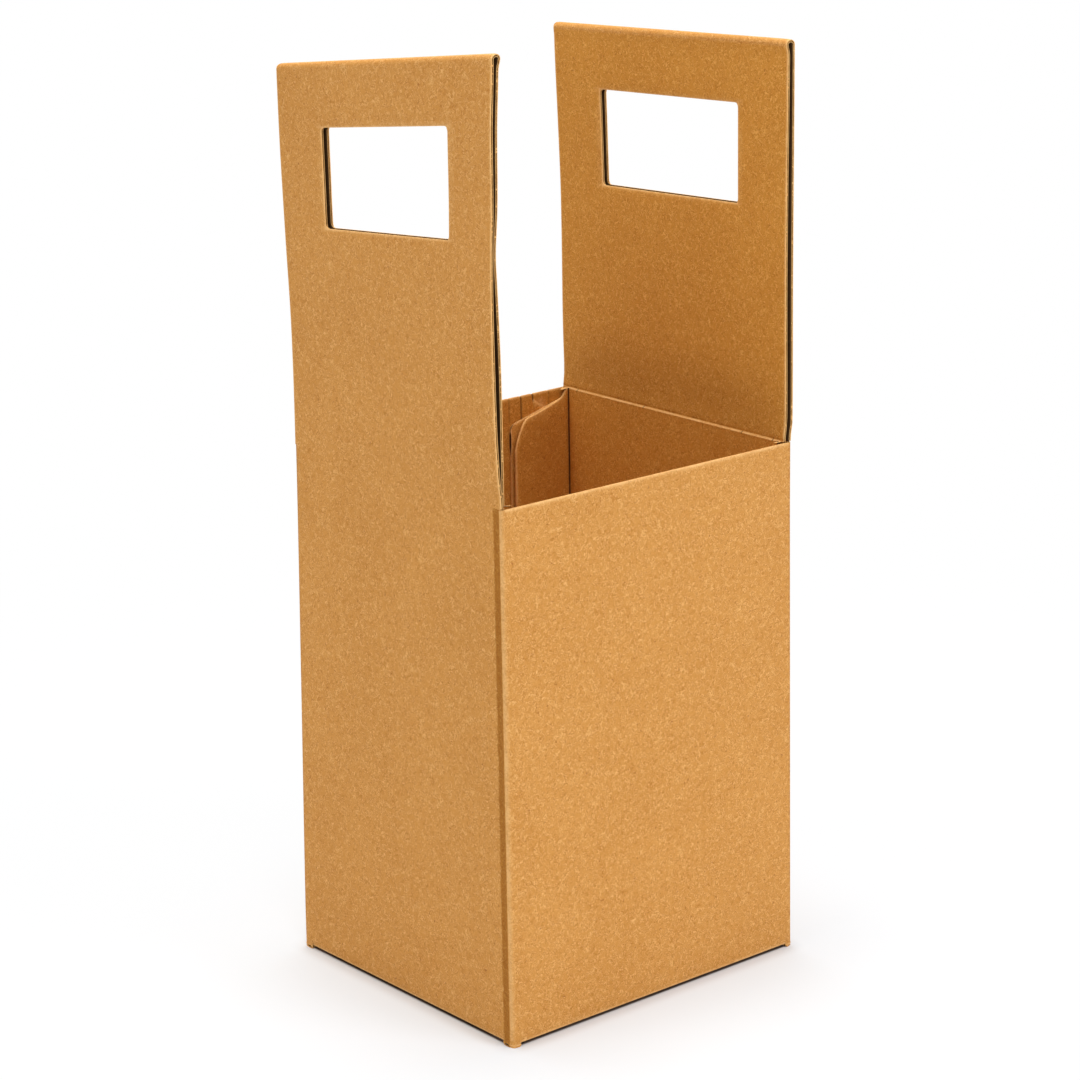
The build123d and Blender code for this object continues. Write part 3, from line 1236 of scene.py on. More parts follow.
    def is_waste(self, across: float, along: float) -> bool:
        """Say whether a place lies outside the blank's panels.

        Args:
            across: Place across the blank.
            along: Place along the blank.

        Returns:
            True outside the panels.
        """
        sheet = self.sheet
        if along < sheet.bend_top:
            return self._is_waste_below(across, along)
        if along < sheet.rim:
            return False
        _, y = sheet.handle_place(across)
        if along < sheet.foot:
            return abs(y) > sheet.wall_half
        if along < sheet.shoulder:
            return abs(y) > sheet.handle_half
        return abs(y) > sheet.hinge_at(y) + sheet.board.fold_run + sheet.wing_length

    def _is_waste_below(self, across: float, along: float) -> bool:
        """Say whether a place below the walls lies outside the flaps and the ears.

        Args:
            across: Place across the blank.
            along: Place along the blank.

        Returns:
            True outside them.
        """
        sheet = self.sheet
        travelled = sheet.bend_top - along
        for middle in (sheet.front_middle, sheet.back_middle):
            if abs(across - middle) < sheet.outer_flap_half:
                return travelled > sheet.outer_flap.length
        bends_end = sheet.side_flap.pieces[2][0]
        for middle in (sheet.left_middle, sheet.right_middle):
            place = abs(across - middle)
            if place < sheet.side_flap_half:
                wide = place > sheet.side_flap_root and travelled > bends_end
                return wide or travelled > sheet.side_flap.length
        return along < 0 or not sheet.has_ear(across)

    def cut(self, layer: Layer) -> Blank:
        """Cut one layer of the blank to its outline.

        Args:
            layer: The layer.

        Returns:
            The flat layer, one cell thick.
        """
        sheet = self.sheet
        blank = Blank(self.columns(layer), self.rows(layer))
        blank.drop(self.is_waste)
        for side in Side:
            self._cut_wings(blank, side)
            self._cut_hole(blank, side)
        for sign in (1, -1):
            self._cut_tab_end(blank, sign)
        for low, high in sheet.ears:
            for tip, inward in ((low, 1), (high, -1)):
                if tip >= 0:
                    self._round_ear(blank, tip, inward)
        self._slit_ears(blank)
        if layer is Layer.INNER_LINER:
            for spread in self.torn_slices:
                blank.slice(self._torn_outline(spread))
        return blank

    def _cut_hole(self, blank: Blank, side: Side) -> None:
        """Cut one hand hole through both plies, with a strip of cells round it.

        Args:
            blank: The layer.
            side: The handle.
        """
        sheet = self.sheet
        outline = rounded(sheet.holes[side], sheet.hole_corner)
        middle = middle_of(outline)
        strip = [
            tuple(
                value + math.copysign(self.edge_strip, value - centre)
                for value, centre in zip(point, middle)
            )
            for point in outline
        ]
        for row_of in (sheet.outer_row, sheet.inner_row):
            ring, hole = (
                [(sheet.handle_column(side, y), row_of(side, y, z)) for y, z in line]
                for line in (strip, outline)
            )
            blank.slice([*ring, ring[0]], blank.hole_margin)
            blank.punch(hole)

    def _cut_wings(self, blank: Blank, side: Side) -> None:
        """Cut both wings of one tuck to their curved tops.

        Args:
            blank: The layer.
            side: The handle.
        """
        sheet = self.sheet
        for sign in (-1, 1):
            origin = sheet.hinge[sign] - sheet.wing_origin
            lower = sheet.front_wing_drop if sign < 0 else 0.0
            columns = [sheet.handle_column(side, sign * (origin + reach)) for reach, _ in WING_TOP]
            for inset in (0.0, self.edge_strip):
                rows = [sheet.tuck_row(sheet.rim - drop - lower - inset) for _, drop in WING_TOP]
                blank.slice(list(zip(columns, rows)))

        def above(across: float, along: float) -> bool:
            """Say whether a place is above a wing's cut top.

            Args:
                across: Place across the blank.
                along: Place along the blank.

            Returns:
                True above it.
            """
            if along < sheet.shoulder:
                return False
            its_side, y = sheet.handle_place(across)
            beyond = abs(y) - sheet.hinge_at(y)
            if its_side is not side or beyond < 0:
                return False
            return along < sheet.tuck_row(sheet.rim - sheet.wing_top(beyond, y))

        blank.drop(above)

    def _cut_tab_end(self, blank: Blank, sign: int) -> None:
        """Cut one sloping end of the glued tab, with its rounded corner.

        Args:
            blank: The layer.
            sign: 1 for the tab's top and -1 for its bottom.
        """
        sheet, corner = self.sheet, self.sheet.tab_corner
        slope = math.tan(math.radians(sheet.tab_angle))
        level = sheet.tab_edge(sheet.tab_end, sign)
        line = [(sheet.tab_start, level + sign * slope * (sheet.tab_end - sheet.tab_start))]
        for step in range(5):
            angle = math.pi / 2 * step / 4
            rise = slope * corner * (1 - math.sin(angle)) - corner * (1 - math.cos(angle))
            place = sheet.tab_end - corner + corner * math.sin(angle)
            line.append((place, level + sign * rise))
        line.append((sheet.tab_end + 0.1, level - sign * corner * 2))
        blank.slice([(x, y - sign * self.edge_strip) for x, y in line])
        blank.slice(line)

        def beyond(across: float, along: float) -> bool:
            """Say whether a place is past the tab's sloping end.

            Args:
                across: Place across the blank.
                along: Place along the blank.

            Returns:
                True past it.
            """
            if across < sheet.tab_start or along > sheet.rim:
                return False
            for (x0, y0), (x1, y1) in zip(line, line[1:]):
                if across <= x1:
                    return (along - blend(y0, y1, (across - x0) / (x1 - x0))) * sign > 0
            return False

        blank.drop(beyond)

    def _round_ear(self, blank: Blank, tip: float, inward: int) -> None:
        """Round one lower tip of a corner's ear.

        Args:
            blank: The layer.
            tip: The tip's place across the blank.
            inward: 1 where the ear lies past its tip and -1 where it lies before it.
        """
        radius = self.sheet.ear_radius
        line = [
            (
                tip + inward * radius * (1.0 - math.cos(math.pi / 8 * step)),
                radius * (1.0 - math.sin(math.pi / 8 * step)),
            )
            for step in range(5)
        ]
        blank.slice(line)

        def past_tip(across: float, along: float) -> bool:
            """Say whether a place is past the rounded tip.

            Args:
                across: Place across the blank.
                along: Place along the blank.

            Returns:
                True past it.
            """
            depth = (across - tip) * inward
            if along > radius or not 0.0 <= depth <= radius:
                return False
            return math.hypot(radius - depth, radius - along) > radius

        blank.drop(past_tip, blank.near(line, radius))

    def _slit_ears(self, blank: Blank) -> None:
        """Cut the slit beside each end of the left handle wall.

        Args:
            blank: The layer.
        """
        slit_start, slit_end, low, high = self.sheet.ear_slit
        for wall_end, sign in ((self.sheet.left_end, 1), (self.sheet.left_start, -1)):
            start, end = sorted((wall_end + sign * slit_start, wall_end + sign * slit_end))
            slit = [(start, low), (end, low), (end, high), (start, high)]
            blank.punch(rounded(slit, (high - low) * 0.45))

    def _torn_outline(self, spread: float) -> list[Pair]:
        """Give the closed outline of the back wall's torn flap, as a share of its size.

        Args:
            spread: The outline's size, as a share of the flap's own.

        Returns:
            The corners, with the first one again at the end.
        """
        sheet = self.sheet
        corners = [(x - sheet.seam_setback, sheet.rim - drop) for x, drop in self.torn]
        middle = middle_of(corners)
        outline = [tuple(middle + (Vector(corner) - middle) * spread) for corner in corners]
        return [*outline, outline[0]]

    def build(self, layer: Layer, materials: list[bpy.types.Material]) -> bpy.types.Object:
        """Make one layer as a piece.

        Args:
            layer: The layer.
            materials: Those of its faces, of its cut edges and, in the medium, of its ticks.

        Returns:
            The finished piece.
        """
        sheet, board = self.sheet, self.sheet.board
        mesh = self.cut(layer).mesh
        thickness = board.liner
        if layer is Layer.FLUTED_MEDIUM:
            thickness = board.medium
            for vert in mesh.verts:
                vert.co.z = self._wave(vert.co.x, vert.co.y) + thickness / 2
        else:
            top = board.half if layer is Layer.OUTER_LINER else board.liner - board.half
            bmesh.ops.translate(mesh, verts=mesh.verts, vec=(0, 0, top))
        bmesh.ops.solidify(mesh, geom=mesh.faces[:], thickness=thickness)
        self._mark_edges(mesh, layer)
        if layer is Layer.FLUTED_MEDIUM:
            ticks = self._ticks()
            mesh.from_mesh(ticks)
            bpy.data.meshes.remove(ticks)
        wear_and_highlight, crease, shade, bounce_tint = (
            mesh.verts.layers.float.new(name) for name in ("wear_and_highlight", "crease", "shade", "bounce_tint")
        )
        sheet_map = mesh.loops.layers.uv.new("blank")
        for face in mesh.faces:
            for loop in face.loops:
                loop[sheet_map].uv = (loop.vert.co.x / 100.0, loop.vert.co.y / 100.0)
        for vert in mesh.verts:
            across, along, out = vert.co
            distance = sheet.cut_distance(across, along)
            left = 1.0 - self._pinch(across, along) * math.exp(-distance / board.pinch_reach)
            left *= 1.0 - board.crush.at(self._fold_distance(across, along))
            # Pale wear at cut edges, with painted highlights where the rim, folds, ledge and near
            # corner catch the light
            vert[wear_and_highlight] = self._wear_and_highlight(across, along, distance)
            # Painted shade at creases, beside the top fold and over the dented band by the near
            # corner
            vert[crease] = self._crease_shade(across, along)
            vert[shade] = self._shaded(across, along, out, layer, distance)
            # Painted bounce-light tint on the faces turned inwards
            vert[bounce_tint] = float(layer is Layer.INNER_LINER or along > sheet.fold_end)
            out = board.squeezed(out, 1.0 - left) + self._dent(across, along, layer)
            along -= self._nick(across, along)
            vert.co = sheet.folded(across, along, out) * METRES
        return make_piece(layer.value, mesh, materials)

    def _ticks(self) -> bpy.types.Mesh:
        """Make the short flute walls that cross between the liners at the long cut edges.

        Returns:
            The flute walls, in the flat sheet.
        """
        sheet, rng, mesh = self.sheet, random.Random(self.tick_seed), bmesh.new()
        edges: list[Triple] = []
        for side in Side:
            for sign in (-1, 1):
                column = sheet.handle_column(side, sign * (sheet.handle_half - self.tick_inset))
                edges.append((column, sheet.rim + 2.0, sheet.fold_start - 1.0))
                edges.append((column, sheet.fold_end + 1.0, sheet.shoulder - 3.0))
                y, high = sheet.holes[side][1 + sign]
                low = sheet.holes[side][2 if sign > 0 else 1][1]
                column = sheet.handle_column(side, y + sign * self.tick_inset)
                for row_of in (sheet.outer_row, sheet.inner_row):
                    edges.append((column, *sorted((row_of(side, y, low), row_of(side, y, high)))))
        for column, start, end in edges:
            for _ in range(max(3, round(self.ticks * (end - start) / sheet.ply_run))):
                place = rng.uniform(start + self.tick_end, end - self.tick_end)
                size = (self.tick_depth, rng.uniform(*self.tick_width), 2 * sheet.board.flute_half)
                turn = Matrix.Rotation(rng.uniform(-self.tick_tilt, self.tick_tilt), 4, "X")
                tick = bmesh.ops.create_cube(mesh, size=1.0)["verts"]
                bmesh.ops.scale(mesh, vec=size, verts=tick)
                bmesh.ops.transform(mesh, matrix=turn, verts=tick)
                bmesh.ops.translate(mesh, vec=(column, place, 0.0), verts=tick)
        for face in mesh.faces:
            face.material_index = 2
        ticks = bpy.data.meshes.new("ticks")
        mesh.to_mesh(ticks)
        mesh.free()
        return ticks

    def _mark_edges(self, mesh: BMesh, layer: Layer) -> None:
        """Give the cut faces the second material and shade the broad faces smooth.

        Args:
            mesh: The layer's mesh, still flat.
            layer: The layer.
        """
        for face in mesh.faces:
            face.normal_update()
            broad = abs(face.normal.z) > (0.2 if layer is Layer.FLUTED_MEDIUM else 0.5)
            face.material_index = 0 if broad else 1
            face.smooth = broad
        for edge in mesh.edges:
            edge.smooth = len({face.material_index for face in edge.link_faces}) == 1

    # Shape of the flat layers

    def _wave(self, across: float, along: float) -> float:
        """Give the medium's place between the liners.

        The flutes run up the walls. Near the handles' long cut edges the cut wanders over them.

        Args:
            across: Place across the blank.
            along: Place along the blank.

        Returns:
            Distance from the middle of the board.
        """
        board, edge = self.sheet.board, 0.0
        if along > self.sheet.rim:
            _, y = self.sheet.handle_place(across)
            edge = ease(1.0 - abs(self.sheet.handle_half - abs(y)) / self.wander_reach)
        wander = sum(size * math.sin(along / run + start) for size, run, start in self.wander)
        return board.wave * math.cos(2 * math.pi * (across + wander * edge) / board.flute_pitch)

    def _pinch(self, across: float, along: float) -> float:
        """Give how far the cut edge nearest to a point is crushed.

        Args:
            across: Place across the blank.
            along: Place along the blank.

        Returns:
            Share of the flutes' height. Only a handle's upright edges stay open.
        """
        sheet = self.sheet
        side, y = sheet.handle_place(across)
        over_hole = sheet.holes[side][0][0] + 0.5 < y < sheet.holes[side][2][0] - 0.5
        if across > sheet.tab_start and along < sheet.rim:
            return sheet.board.rim_pinch * (1.0 - self._gaping(along))
        if sheet.rim < along < sheet.shoulder and not over_hole:
            return sheet.board.pinch
        return sheet.board.rim_pinch

    def _fold_distance(self, across: float, along: float) -> float:
        """Give how far a point of the blank is from the nearest sharp fold.

        Args:
            across: Place across the blank.
            along: Place along the blank.

        Returns:
            The distance in the flat sheet, zero anywhere on a fold's round.
        """
        sheet = self.sheet
        if along > sheet.shoulder:
            _, y = sheet.handle_place(across)
            beyond = abs(y) - sheet.hinge_at(y)
            return max(-beyond, beyond - sheet.board.fold_run, 0.0)
        if along > sheet.rim:
            return FAR_OFF
        nearest = sheet.corner_distance(across)
        if along < 0 or not sheet.has_ear(across):
            high, low = sheet.bottom_bend(across)
            nearest = min(nearest, max(along - high, low - along, 0.0))
        return nearest

    def _bottom_crest(self, across: float) -> float:
        """Give the row where a bottom fold, or the crease over an ear, catches the light.

        Args:
            across: Place across the blank.

        Returns:
            The row.
        """
        if self.sheet.has_ear(across):
            return self.ear_crest
        return blend(*self.sheet.bottom_bend(across), self.bottom_crest)

    def _hinge_line(self, across: float) -> float:
        """Give how near a point of a tuck is to the line its wing folds on, from 0 to 1.

        Args:
            across: Place across the blank.

        Returns:
            How near the point is.
        """
        _, y = self.sheet.handle_place(across)
        return self.hinge_line.at(
            abs(y) - self.sheet.hinge_at(y) - self.sheet.board.fold_run / 2
        )

    def _gaping(self, along: float) -> float:
        """Give how far the tab's end gapes at a height, from 0 to 1.

        Args:
            along: Place along the blank.

        Returns:
            How far it gapes.
        """
        low, high = self.sheet.tab_gap
        fade = self.sheet.tab_gap_fade
        return ease((along - low) / fade) * ease((high - along) / fade)

    def _groove(self, across: float, along: float, width: float) -> float:
        """Give how deep a point lies in the back wall's short creases, from 0 to 1.

        Args:
            across: Place across the blank.
            along: Place along the blank.
            width: Width over which a crease fades.

        Returns:
            How deep the point lies.
        """
        sheet, deepest = self.sheet, 0.0
        for place, depth, strength in self.creased:
            fade = ease((depth - sheet.rim + along) / self.crease_fade) * strength
            deepest = max(deepest, bell(across - place + sheet.seam_setback, width) * fade)
        return deepest

    def _nick(self, across: float, along: float) -> float:
        """Give how far the back wall's rim is nicked down where a crease meets it.

        Args:
            across: Place across the blank.
            along: Place along the blank.

        Returns:
            How much lower the point is.
        """
        rise = ease((along - self.sheet.rim + 0.5) / 0.5)
        if across > self.marked_reach or along > self.sheet.rim or not rise:
            return 0.0
        groove = self._groove(across, self.sheet.rim, self.crease_widths[1])
        return self.crease_nick * rise * groove

    def _dent(self, across: float, along: float, layer: Layer) -> float:
        """Give how far a point of a liner is dented, outwards being positive.

        Args:
            across: Place across the blank.
            along: Place along the blank.
            layer: The layer.

        Returns:
            How far the point is moved.
        """
        sheet = self.sheet
        if layer is Layer.OUTER_LINER:
            if along < sheet.bend_top:
                return self.bottom_bead.at(along - self._bottom_crest(across))
            if along < sheet.rim:
                return self.band_dent.at(across - sheet.left_end + sum(self.band) / 2)
            return self.hinge_dent * self._hinge_line(across) if along > sheet.shoulder else 0.0
        marked = across <= self.marked_reach and along <= sheet.rim
        if layer is Layer.FLUTED_MEDIUM or not marked:
            return 0.0
        if inside(self._torn_outline(self.torn_inside), across, along):
            return -self.torn_lift
        return self.crease_dent * self._groove(across, along, self.crease_widths[2])

    # Marks on the faces

    def _wear_and_highlight(self, across: float, along: float, distance: float) -> float:
        """Give how pale a point is from wear and from painted highlights, from 0 to 1.

        Args:
            across: Place across the blank.
            along: Place along the blank.
            distance: Distance from the nearest cut edge.

        Returns:
            How pale the point is.
        """
        sheet = self.sheet
        on_front = sheet.front_start < across < sheet.front_end and along < sheet.shoulder
        line = 0.0
        if along < sheet.bend_top:
            line = self.bottom_fold_highlight.at(along - self._bottom_crest(across))
        elif sheet.rim + 2.0 < along < sheet.shoulder - 2.0:
            _, y = sheet.handle_place(across)
            line = self.fold_wear_and_highlight_share + self.fold_wear_and_highlight_front.at(y + sheet.handle_half)
            line *= self.fold_wear_and_highlight.at(along - (sheet.fold_start + sheet.fold_end) / 2)
        elif along > sheet.rim + 2.0:
            line = self.ledge_highlight.at(along - sheet.shoulder)
        elif across < self.marked_reach:
            line = self._torn_edge(across, along)
        elif along < sheet.rim:
            line = self.corner_highlight.at(across - sheet.left_end)
        return max(line, (self.rim_wear_and_highlight if on_front else self.rubbed_cut).at(distance))

    def _torn_edge(self, across: float, along: float) -> float:
        """Give how near a point is to the torn flap's upper edge, from 0 to 1.

        Args:
            across: Place across the blank.
            along: Place along the blank.

        Returns:
            How near the point is.
        """
        start, end = (Vector(place) for place in self._torn_outline(1.0)[:2])
        place, run = Vector((across, along)) - start, end - start
        share = min(max(place.dot(run) / run.length_squared, 0.0), 1.0)
        return self.rubbed_torn.at((place - run * share).length)

    def _crease_shade(self, across: float, along: float) -> float:
        """Give how much painted shade darkens a point of the blank at creases, beside the top fold
        and over the band by the near corner, from 0 to 1.

        Args:
            across: Place across the blank.
            along: Place along the blank.

        Returns:
            How much painted shade the point gets.
        """
        sheet = self.sheet
        if along > sheet.rim + 0.1:
            beside_fold = max(sheet.fold_start - along, along - sheet.fold_end)
            ledge = self.ledge_crease_shade.at(along - sheet.shoulder)
            return max(ledge, self.fold_crease_shade.at(beside_fold))
        if abs(across - sheet.front_start) < self.band_reach:
            start, end = (sheet.left_end - place for place in self.band)
            rise, fall = self.band_fades
            return ease((across - start) / rise + 0.5) * ease((end - across) / fall + 0.5)
        return self.corner_crease_shade.at(sheet.corner_distance(across))

    def _shaded(
        self, across: float, along: float, out: float, layer: Layer, distance: float
    ) -> float:
        """Give how dark a point is inside a narrow gap, groove or nick.

        Args:
            across: Place across the blank.
            along: Place along the blank.
            out: Distance from the middle of the board.
            layer: The layer.
            distance: Distance from the nearest cut edge.

        Returns:
            The darkness, from 0 to 1.
        """
        sheet, half_board = self.sheet, self.sheet.board.half
        if abs(out) < half_board - 0.1:
            return self._shaded_inside(across, along, layer, distance)
        side, y = sheet.handle_place(across)
        half_width, half_height = self.nick_half
        on_ledge = side is Side.RIGHT and abs(along - sheet.shoulder) < half_height
        if on_ledge and layer is Layer.OUTER_LINER:
            if min(abs(y - place) for place in self.nicked) < half_width:
                return self.nick_shade
        if along > sheet.shoulder:
            return self._hinge_line(across) if layer is Layer.OUTER_LINER else 0.0
        if along > sheet.rim and layer is Layer.INNER_LINER:
            return self.ply_shade if out < 0.1 - half_board else 0.0
        if along > sheet.fold_end:
            shade, reach = self.ledge_shade
            return shade * ease(1.0 - (sheet.shoulder - along) / reach)
        if layer is Layer.INNER_LINER and across < self.marked_reach:
            return self._groove(across, along, self.crease_widths[0])
        return 0.0

    def _shaded_inside(
        self, across: float, along: float, layer: Layer, distance: float
    ) -> float:
        """Give how dark a point between the board's two faces is.

        Args:
            across: Place across the blank.
            along: Place along the blank.
            layer: The layer.
            distance: Distance from the nearest cut edge.

        Returns:
            The darkness, from 0 to 1.
        """
        sheet = self.sheet
        if across > sheet.tab_end - 0.1 and along < sheet.rim:
            return self.gape_shade * self._gaping(along)
        first, last, low, high = sheet.ear_slit
        if abs(along - (low + high) / 2) < (high - low) * 0.6:
            for end, sign in ((sheet.left_end, 1), (sheet.left_start, -1)):
                if first - 0.2 < (across - end) * sign < last + 0.2:
                    return self.slit_shade
        if layer is Layer.FLUTED_MEDIUM:
            return 0.0
        shade, reach = self.hidden_shade
        return shade * ease(distance / reach)


def link_object(name: str, data: bpy.types.ID) -> bpy.types.Object:
    """Add an object to the scene.

    Args:
        name: The object's name.
        data: Its mesh, light or camera.

    Returns:
        The new object.
    """
    added = bpy.data.objects.new(name, data)
    bpy.context.scene.collection.objects.link(added)
    return added


def make_piece(name: str, mesh: BMesh, materials: list[bpy.types.Material]) -> bpy.types.Object:
    """Turn a finished mesh into a piece that rides on the carrier and stands for its sheet.

    Args:
        name: The piece's name.
        mesh: The mesh, already in metres.
        materials: Its materials, in the order of their use.

    Returns:
        The new object.
    """
    data = bpy.data.meshes.new(name)
    mesh.to_mesh(data)
    mesh.free()
    for material in materials:
        data.materials.append(material)
    piece = link_object(name, data)
    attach(piece, "root")
    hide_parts(CARRIER_NODE)
    log.info("%s: %d vertices, %d faces", name, len(data.vertices), len(data.polygons))
    return piece


# Materials


class Value:
    """One output of a node. Arithmetic on it adds Math nodes."""

    def __init__(self, graph: "Graph", socket: bpy.types.NodeSocket) -> None:
        """Wrap a node's output."""
        self.graph = graph
        self.socket = socket

    def _math(self, operation: str, first: Number, second: Number) -> "Value":
        """Add one Math node."""
        return self.graph.add("ShaderNodeMath", {"operation": operation}, {0: first, 1: second})

    def __add__(self, other: Number) -> "Value":
        """Add."""
        return self._math("ADD", self, other)

    def __radd__(self, other: Number) -> "Value":
        """Add, from the right."""
        return self._math("ADD", other, self)

    def __sub__(self, other: Number) -> "Value":
        """Take away."""
        return self._math("SUBTRACT", self, other)

    def __rsub__(self, other: Number) -> "Value":
        """Take away, from the right."""
        return self._math("SUBTRACT", other, self)

    def __mul__(self, other: Number) -> "Value":
        """Multiply."""
        return self._math("MULTIPLY", self, other)

    def __rmul__(self, other: Number) -> "Value":
        """Multiply, from the right."""
        return self._math("MULTIPLY", other, self)

    def at_most(self, limit: Number) -> "Value":
        """Hold the value down to a limit."""
        return self._math("MINIMUM", self, limit)

    def between(self, low: float, high: float) -> "Value":
        """Turn the range from low to high into a smooth 0 to 1.

        Args:
            low: The value that gives 0.
            high: The value that gives 1.

        Returns:
            The new value.
        """
        return self.graph.add(
            "ShaderNodeMapRange",
            {"interpolation_type": "SMOOTHSTEP"},
            {"Value": self, "From Min": low, "From Max": high},
        )


class Graph:
    """The nodes of a material or of the world."""

    def __init__(self, owner: Union[bpy.types.Material, bpy.types.World]) -> None:
        """Open the nodes that a new material or world starts with.

        Args:
            owner: The material or the world.
        """
        owner.use_nodes = True
        self.nodes = owner.node_tree.nodes
        self.links = owner.node_tree.links

    def feed(self, socket: bpy.types.NodeSocket, value: object) -> None:
        """Link a value to a socket, or set the socket to a number, colour or vector.

        Args:
            socket: The socket.
            value: A value, number, colour or vector.
        """
        if isinstance(value, Value):
            self.links.new(value.socket, socket)
        else:
            socket.default_value = value

    def add(
        self,
        kind: str,
        settings: Optional[dict[str, object]] = None,
        inputs: Optional[dict[Union[str, int], object]] = None,
        output: Union[str, int] = 0,
    ) -> Value:
        """Add any node.

        Args:
            kind: The node's type.
            settings: Its settings, which are set first.
            inputs: Values for its sockets by name or number.
            output: The output that is wanted.

        Returns:
            The wanted output.
        """
        node = self.nodes.new(kind)
        for key, value in (settings or {}).items():
            setattr(node, key, value)
        for key, value in (inputs or {}).items():
            self.feed(node.inputs[key], value)
        return Value(self, node.outputs[output])

    def dress(self, kind: str, sockets: dict[str, object]) -> Value:
        """Feed the sockets of a shader that was there from the start.

        Args:
            kind: The shader's kind.
            sockets: Values for its sockets by name.

        Returns:
            The shader's output.
        """
        node = next(node for node in self.nodes if node.type == kind)
        for name, value in sockets.items():
            self.feed(node.inputs[name], value)
        return Value(self, node.outputs[0])

    def show(self, share: Value, plain: Value, seen: Value) -> None:
        """Show a mix of two shaders.

        Args:
            share: How much of the second shader.
            plain: The first shader.
            seen: The second shader.
        """
        mixed = self.add("ShaderNodeMixShader", {}, {0: share, 1: plain, 2: seen})
        output = next(node for node in self.nodes if node.type.startswith("OUTPUT"))
        self.feed(output.inputs["Surface"], mixed)

    def seen(self) -> Value:
        """Give 1 for what the camera, a mirror or clear glass sees, and 0 for plain light.

        Returns:
            The share of what is seen.
        """
        kinds = ("Is Camera Ray", "Is Glossy Ray", "Is Transmission Ray")
        camera, *others = (self.add("ShaderNodeLightPath", output=kind) for kind in kinds)
        return sum(others, camera).at_most(1.0)

    def place(self) -> Value:
        """Give the coordinates of the point on its object."""
        return self.add("ShaderNodeTexCoord", output="Object")

    def attribute(self, name: str) -> Value:
        """Read one of the piece's own values."""
        return self.add("ShaderNodeAttribute", {"attribute_name": name}, output="Fac")

    def noise(
        self,
        place: Value,
        scale: float,
        detail: float = 2.0,
        rough: float = 0.5,
        bend: float = 0.0,
    ) -> Value:
        """Add a noise pattern, with its scale in features to a metre.

        Args:
            place: The coordinates.
            scale: Features to a metre.
            detail: How many finer layers it has.
            rough: How strong those are.
            bend: How far it is distorted.

        Returns:
            The noise, from 0 to 1.
        """
        sockets = {"Scale": scale, "Detail": detail, "Roughness": rough, "Distortion": bend}
        settings = {"noise_dimensions": "3D"}
        return self.add("ShaderNodeTexNoise", settings, {"Vector": place, **sockets})

    def shifted(self, place: Value, shift: Triple) -> Value:
        """Move the coordinates that a pattern reads."""
        return self.add("ShaderNodeMapping", {}, {"Vector": place, "Location": shift})

    def bump(self, strength: float, height: Value) -> Value:
        """Raise the surface by a tenth of a millimetre where a height is 1."""
        sockets = {"Strength": strength, "Distance": 0.0001, "Height": height}
        return self.add("ShaderNodeBump", {}, sockets)

    def mix(self, share: Number, low: object, high: object, how: str = "MIX") -> Value:
        """Mix two colours.

        Args:
            share: How much of the second colour.
            low: The first colour.
            high: The second colour.
            how: The way they are mixed.

        Returns:
            The mixed colour.
        """
        settings = {"data_type": "RGBA", "blend_type": how}
        return self.add("ShaderNodeMix", settings, {0: share, 6: low, 7: high}, 2)


@dataclass(frozen=True)
class Fibres:
    """Short curly fibres: thin lines of a noise, each with a painted shadow along one side."""

    scale: float  # fibres to a metre
    shift: Triple  # moves the pattern away from the others
    width: float  # of a fibre, as a share of the noise
    gate: float  # noise level above which a patch keeps its fibres
    strength: float

    def masks(self, graph: Graph, place: Value) -> tuple[Value, Value]:
        """Draw the fibres.

        Args:
            graph: The material's nodes.
            place: The coordinates.

        Returns:
            Two masks, 1 on a fibre and 1 on the painted shadow beside it.
        """
        lines = graph.noise(graph.shifted(place, self.shift), self.scale, 0.5, 0.4, 1.2) - 0.5
        turned = (*self.shift[1:], self.shift[0])
        patches = graph.noise(graph.shifted(place, turned), self.scale * 0.9)
        kept = patches.between(self.gate - 0.06, self.gate + 0.06)
        pale, dark = (
            far.between(0.0, self.width * 0.5)
            * far.between(self.width * 1.6, self.width * 0.8)
            * kept
            for far in (lines, lines * -1.0)
        )
        return pale, dark


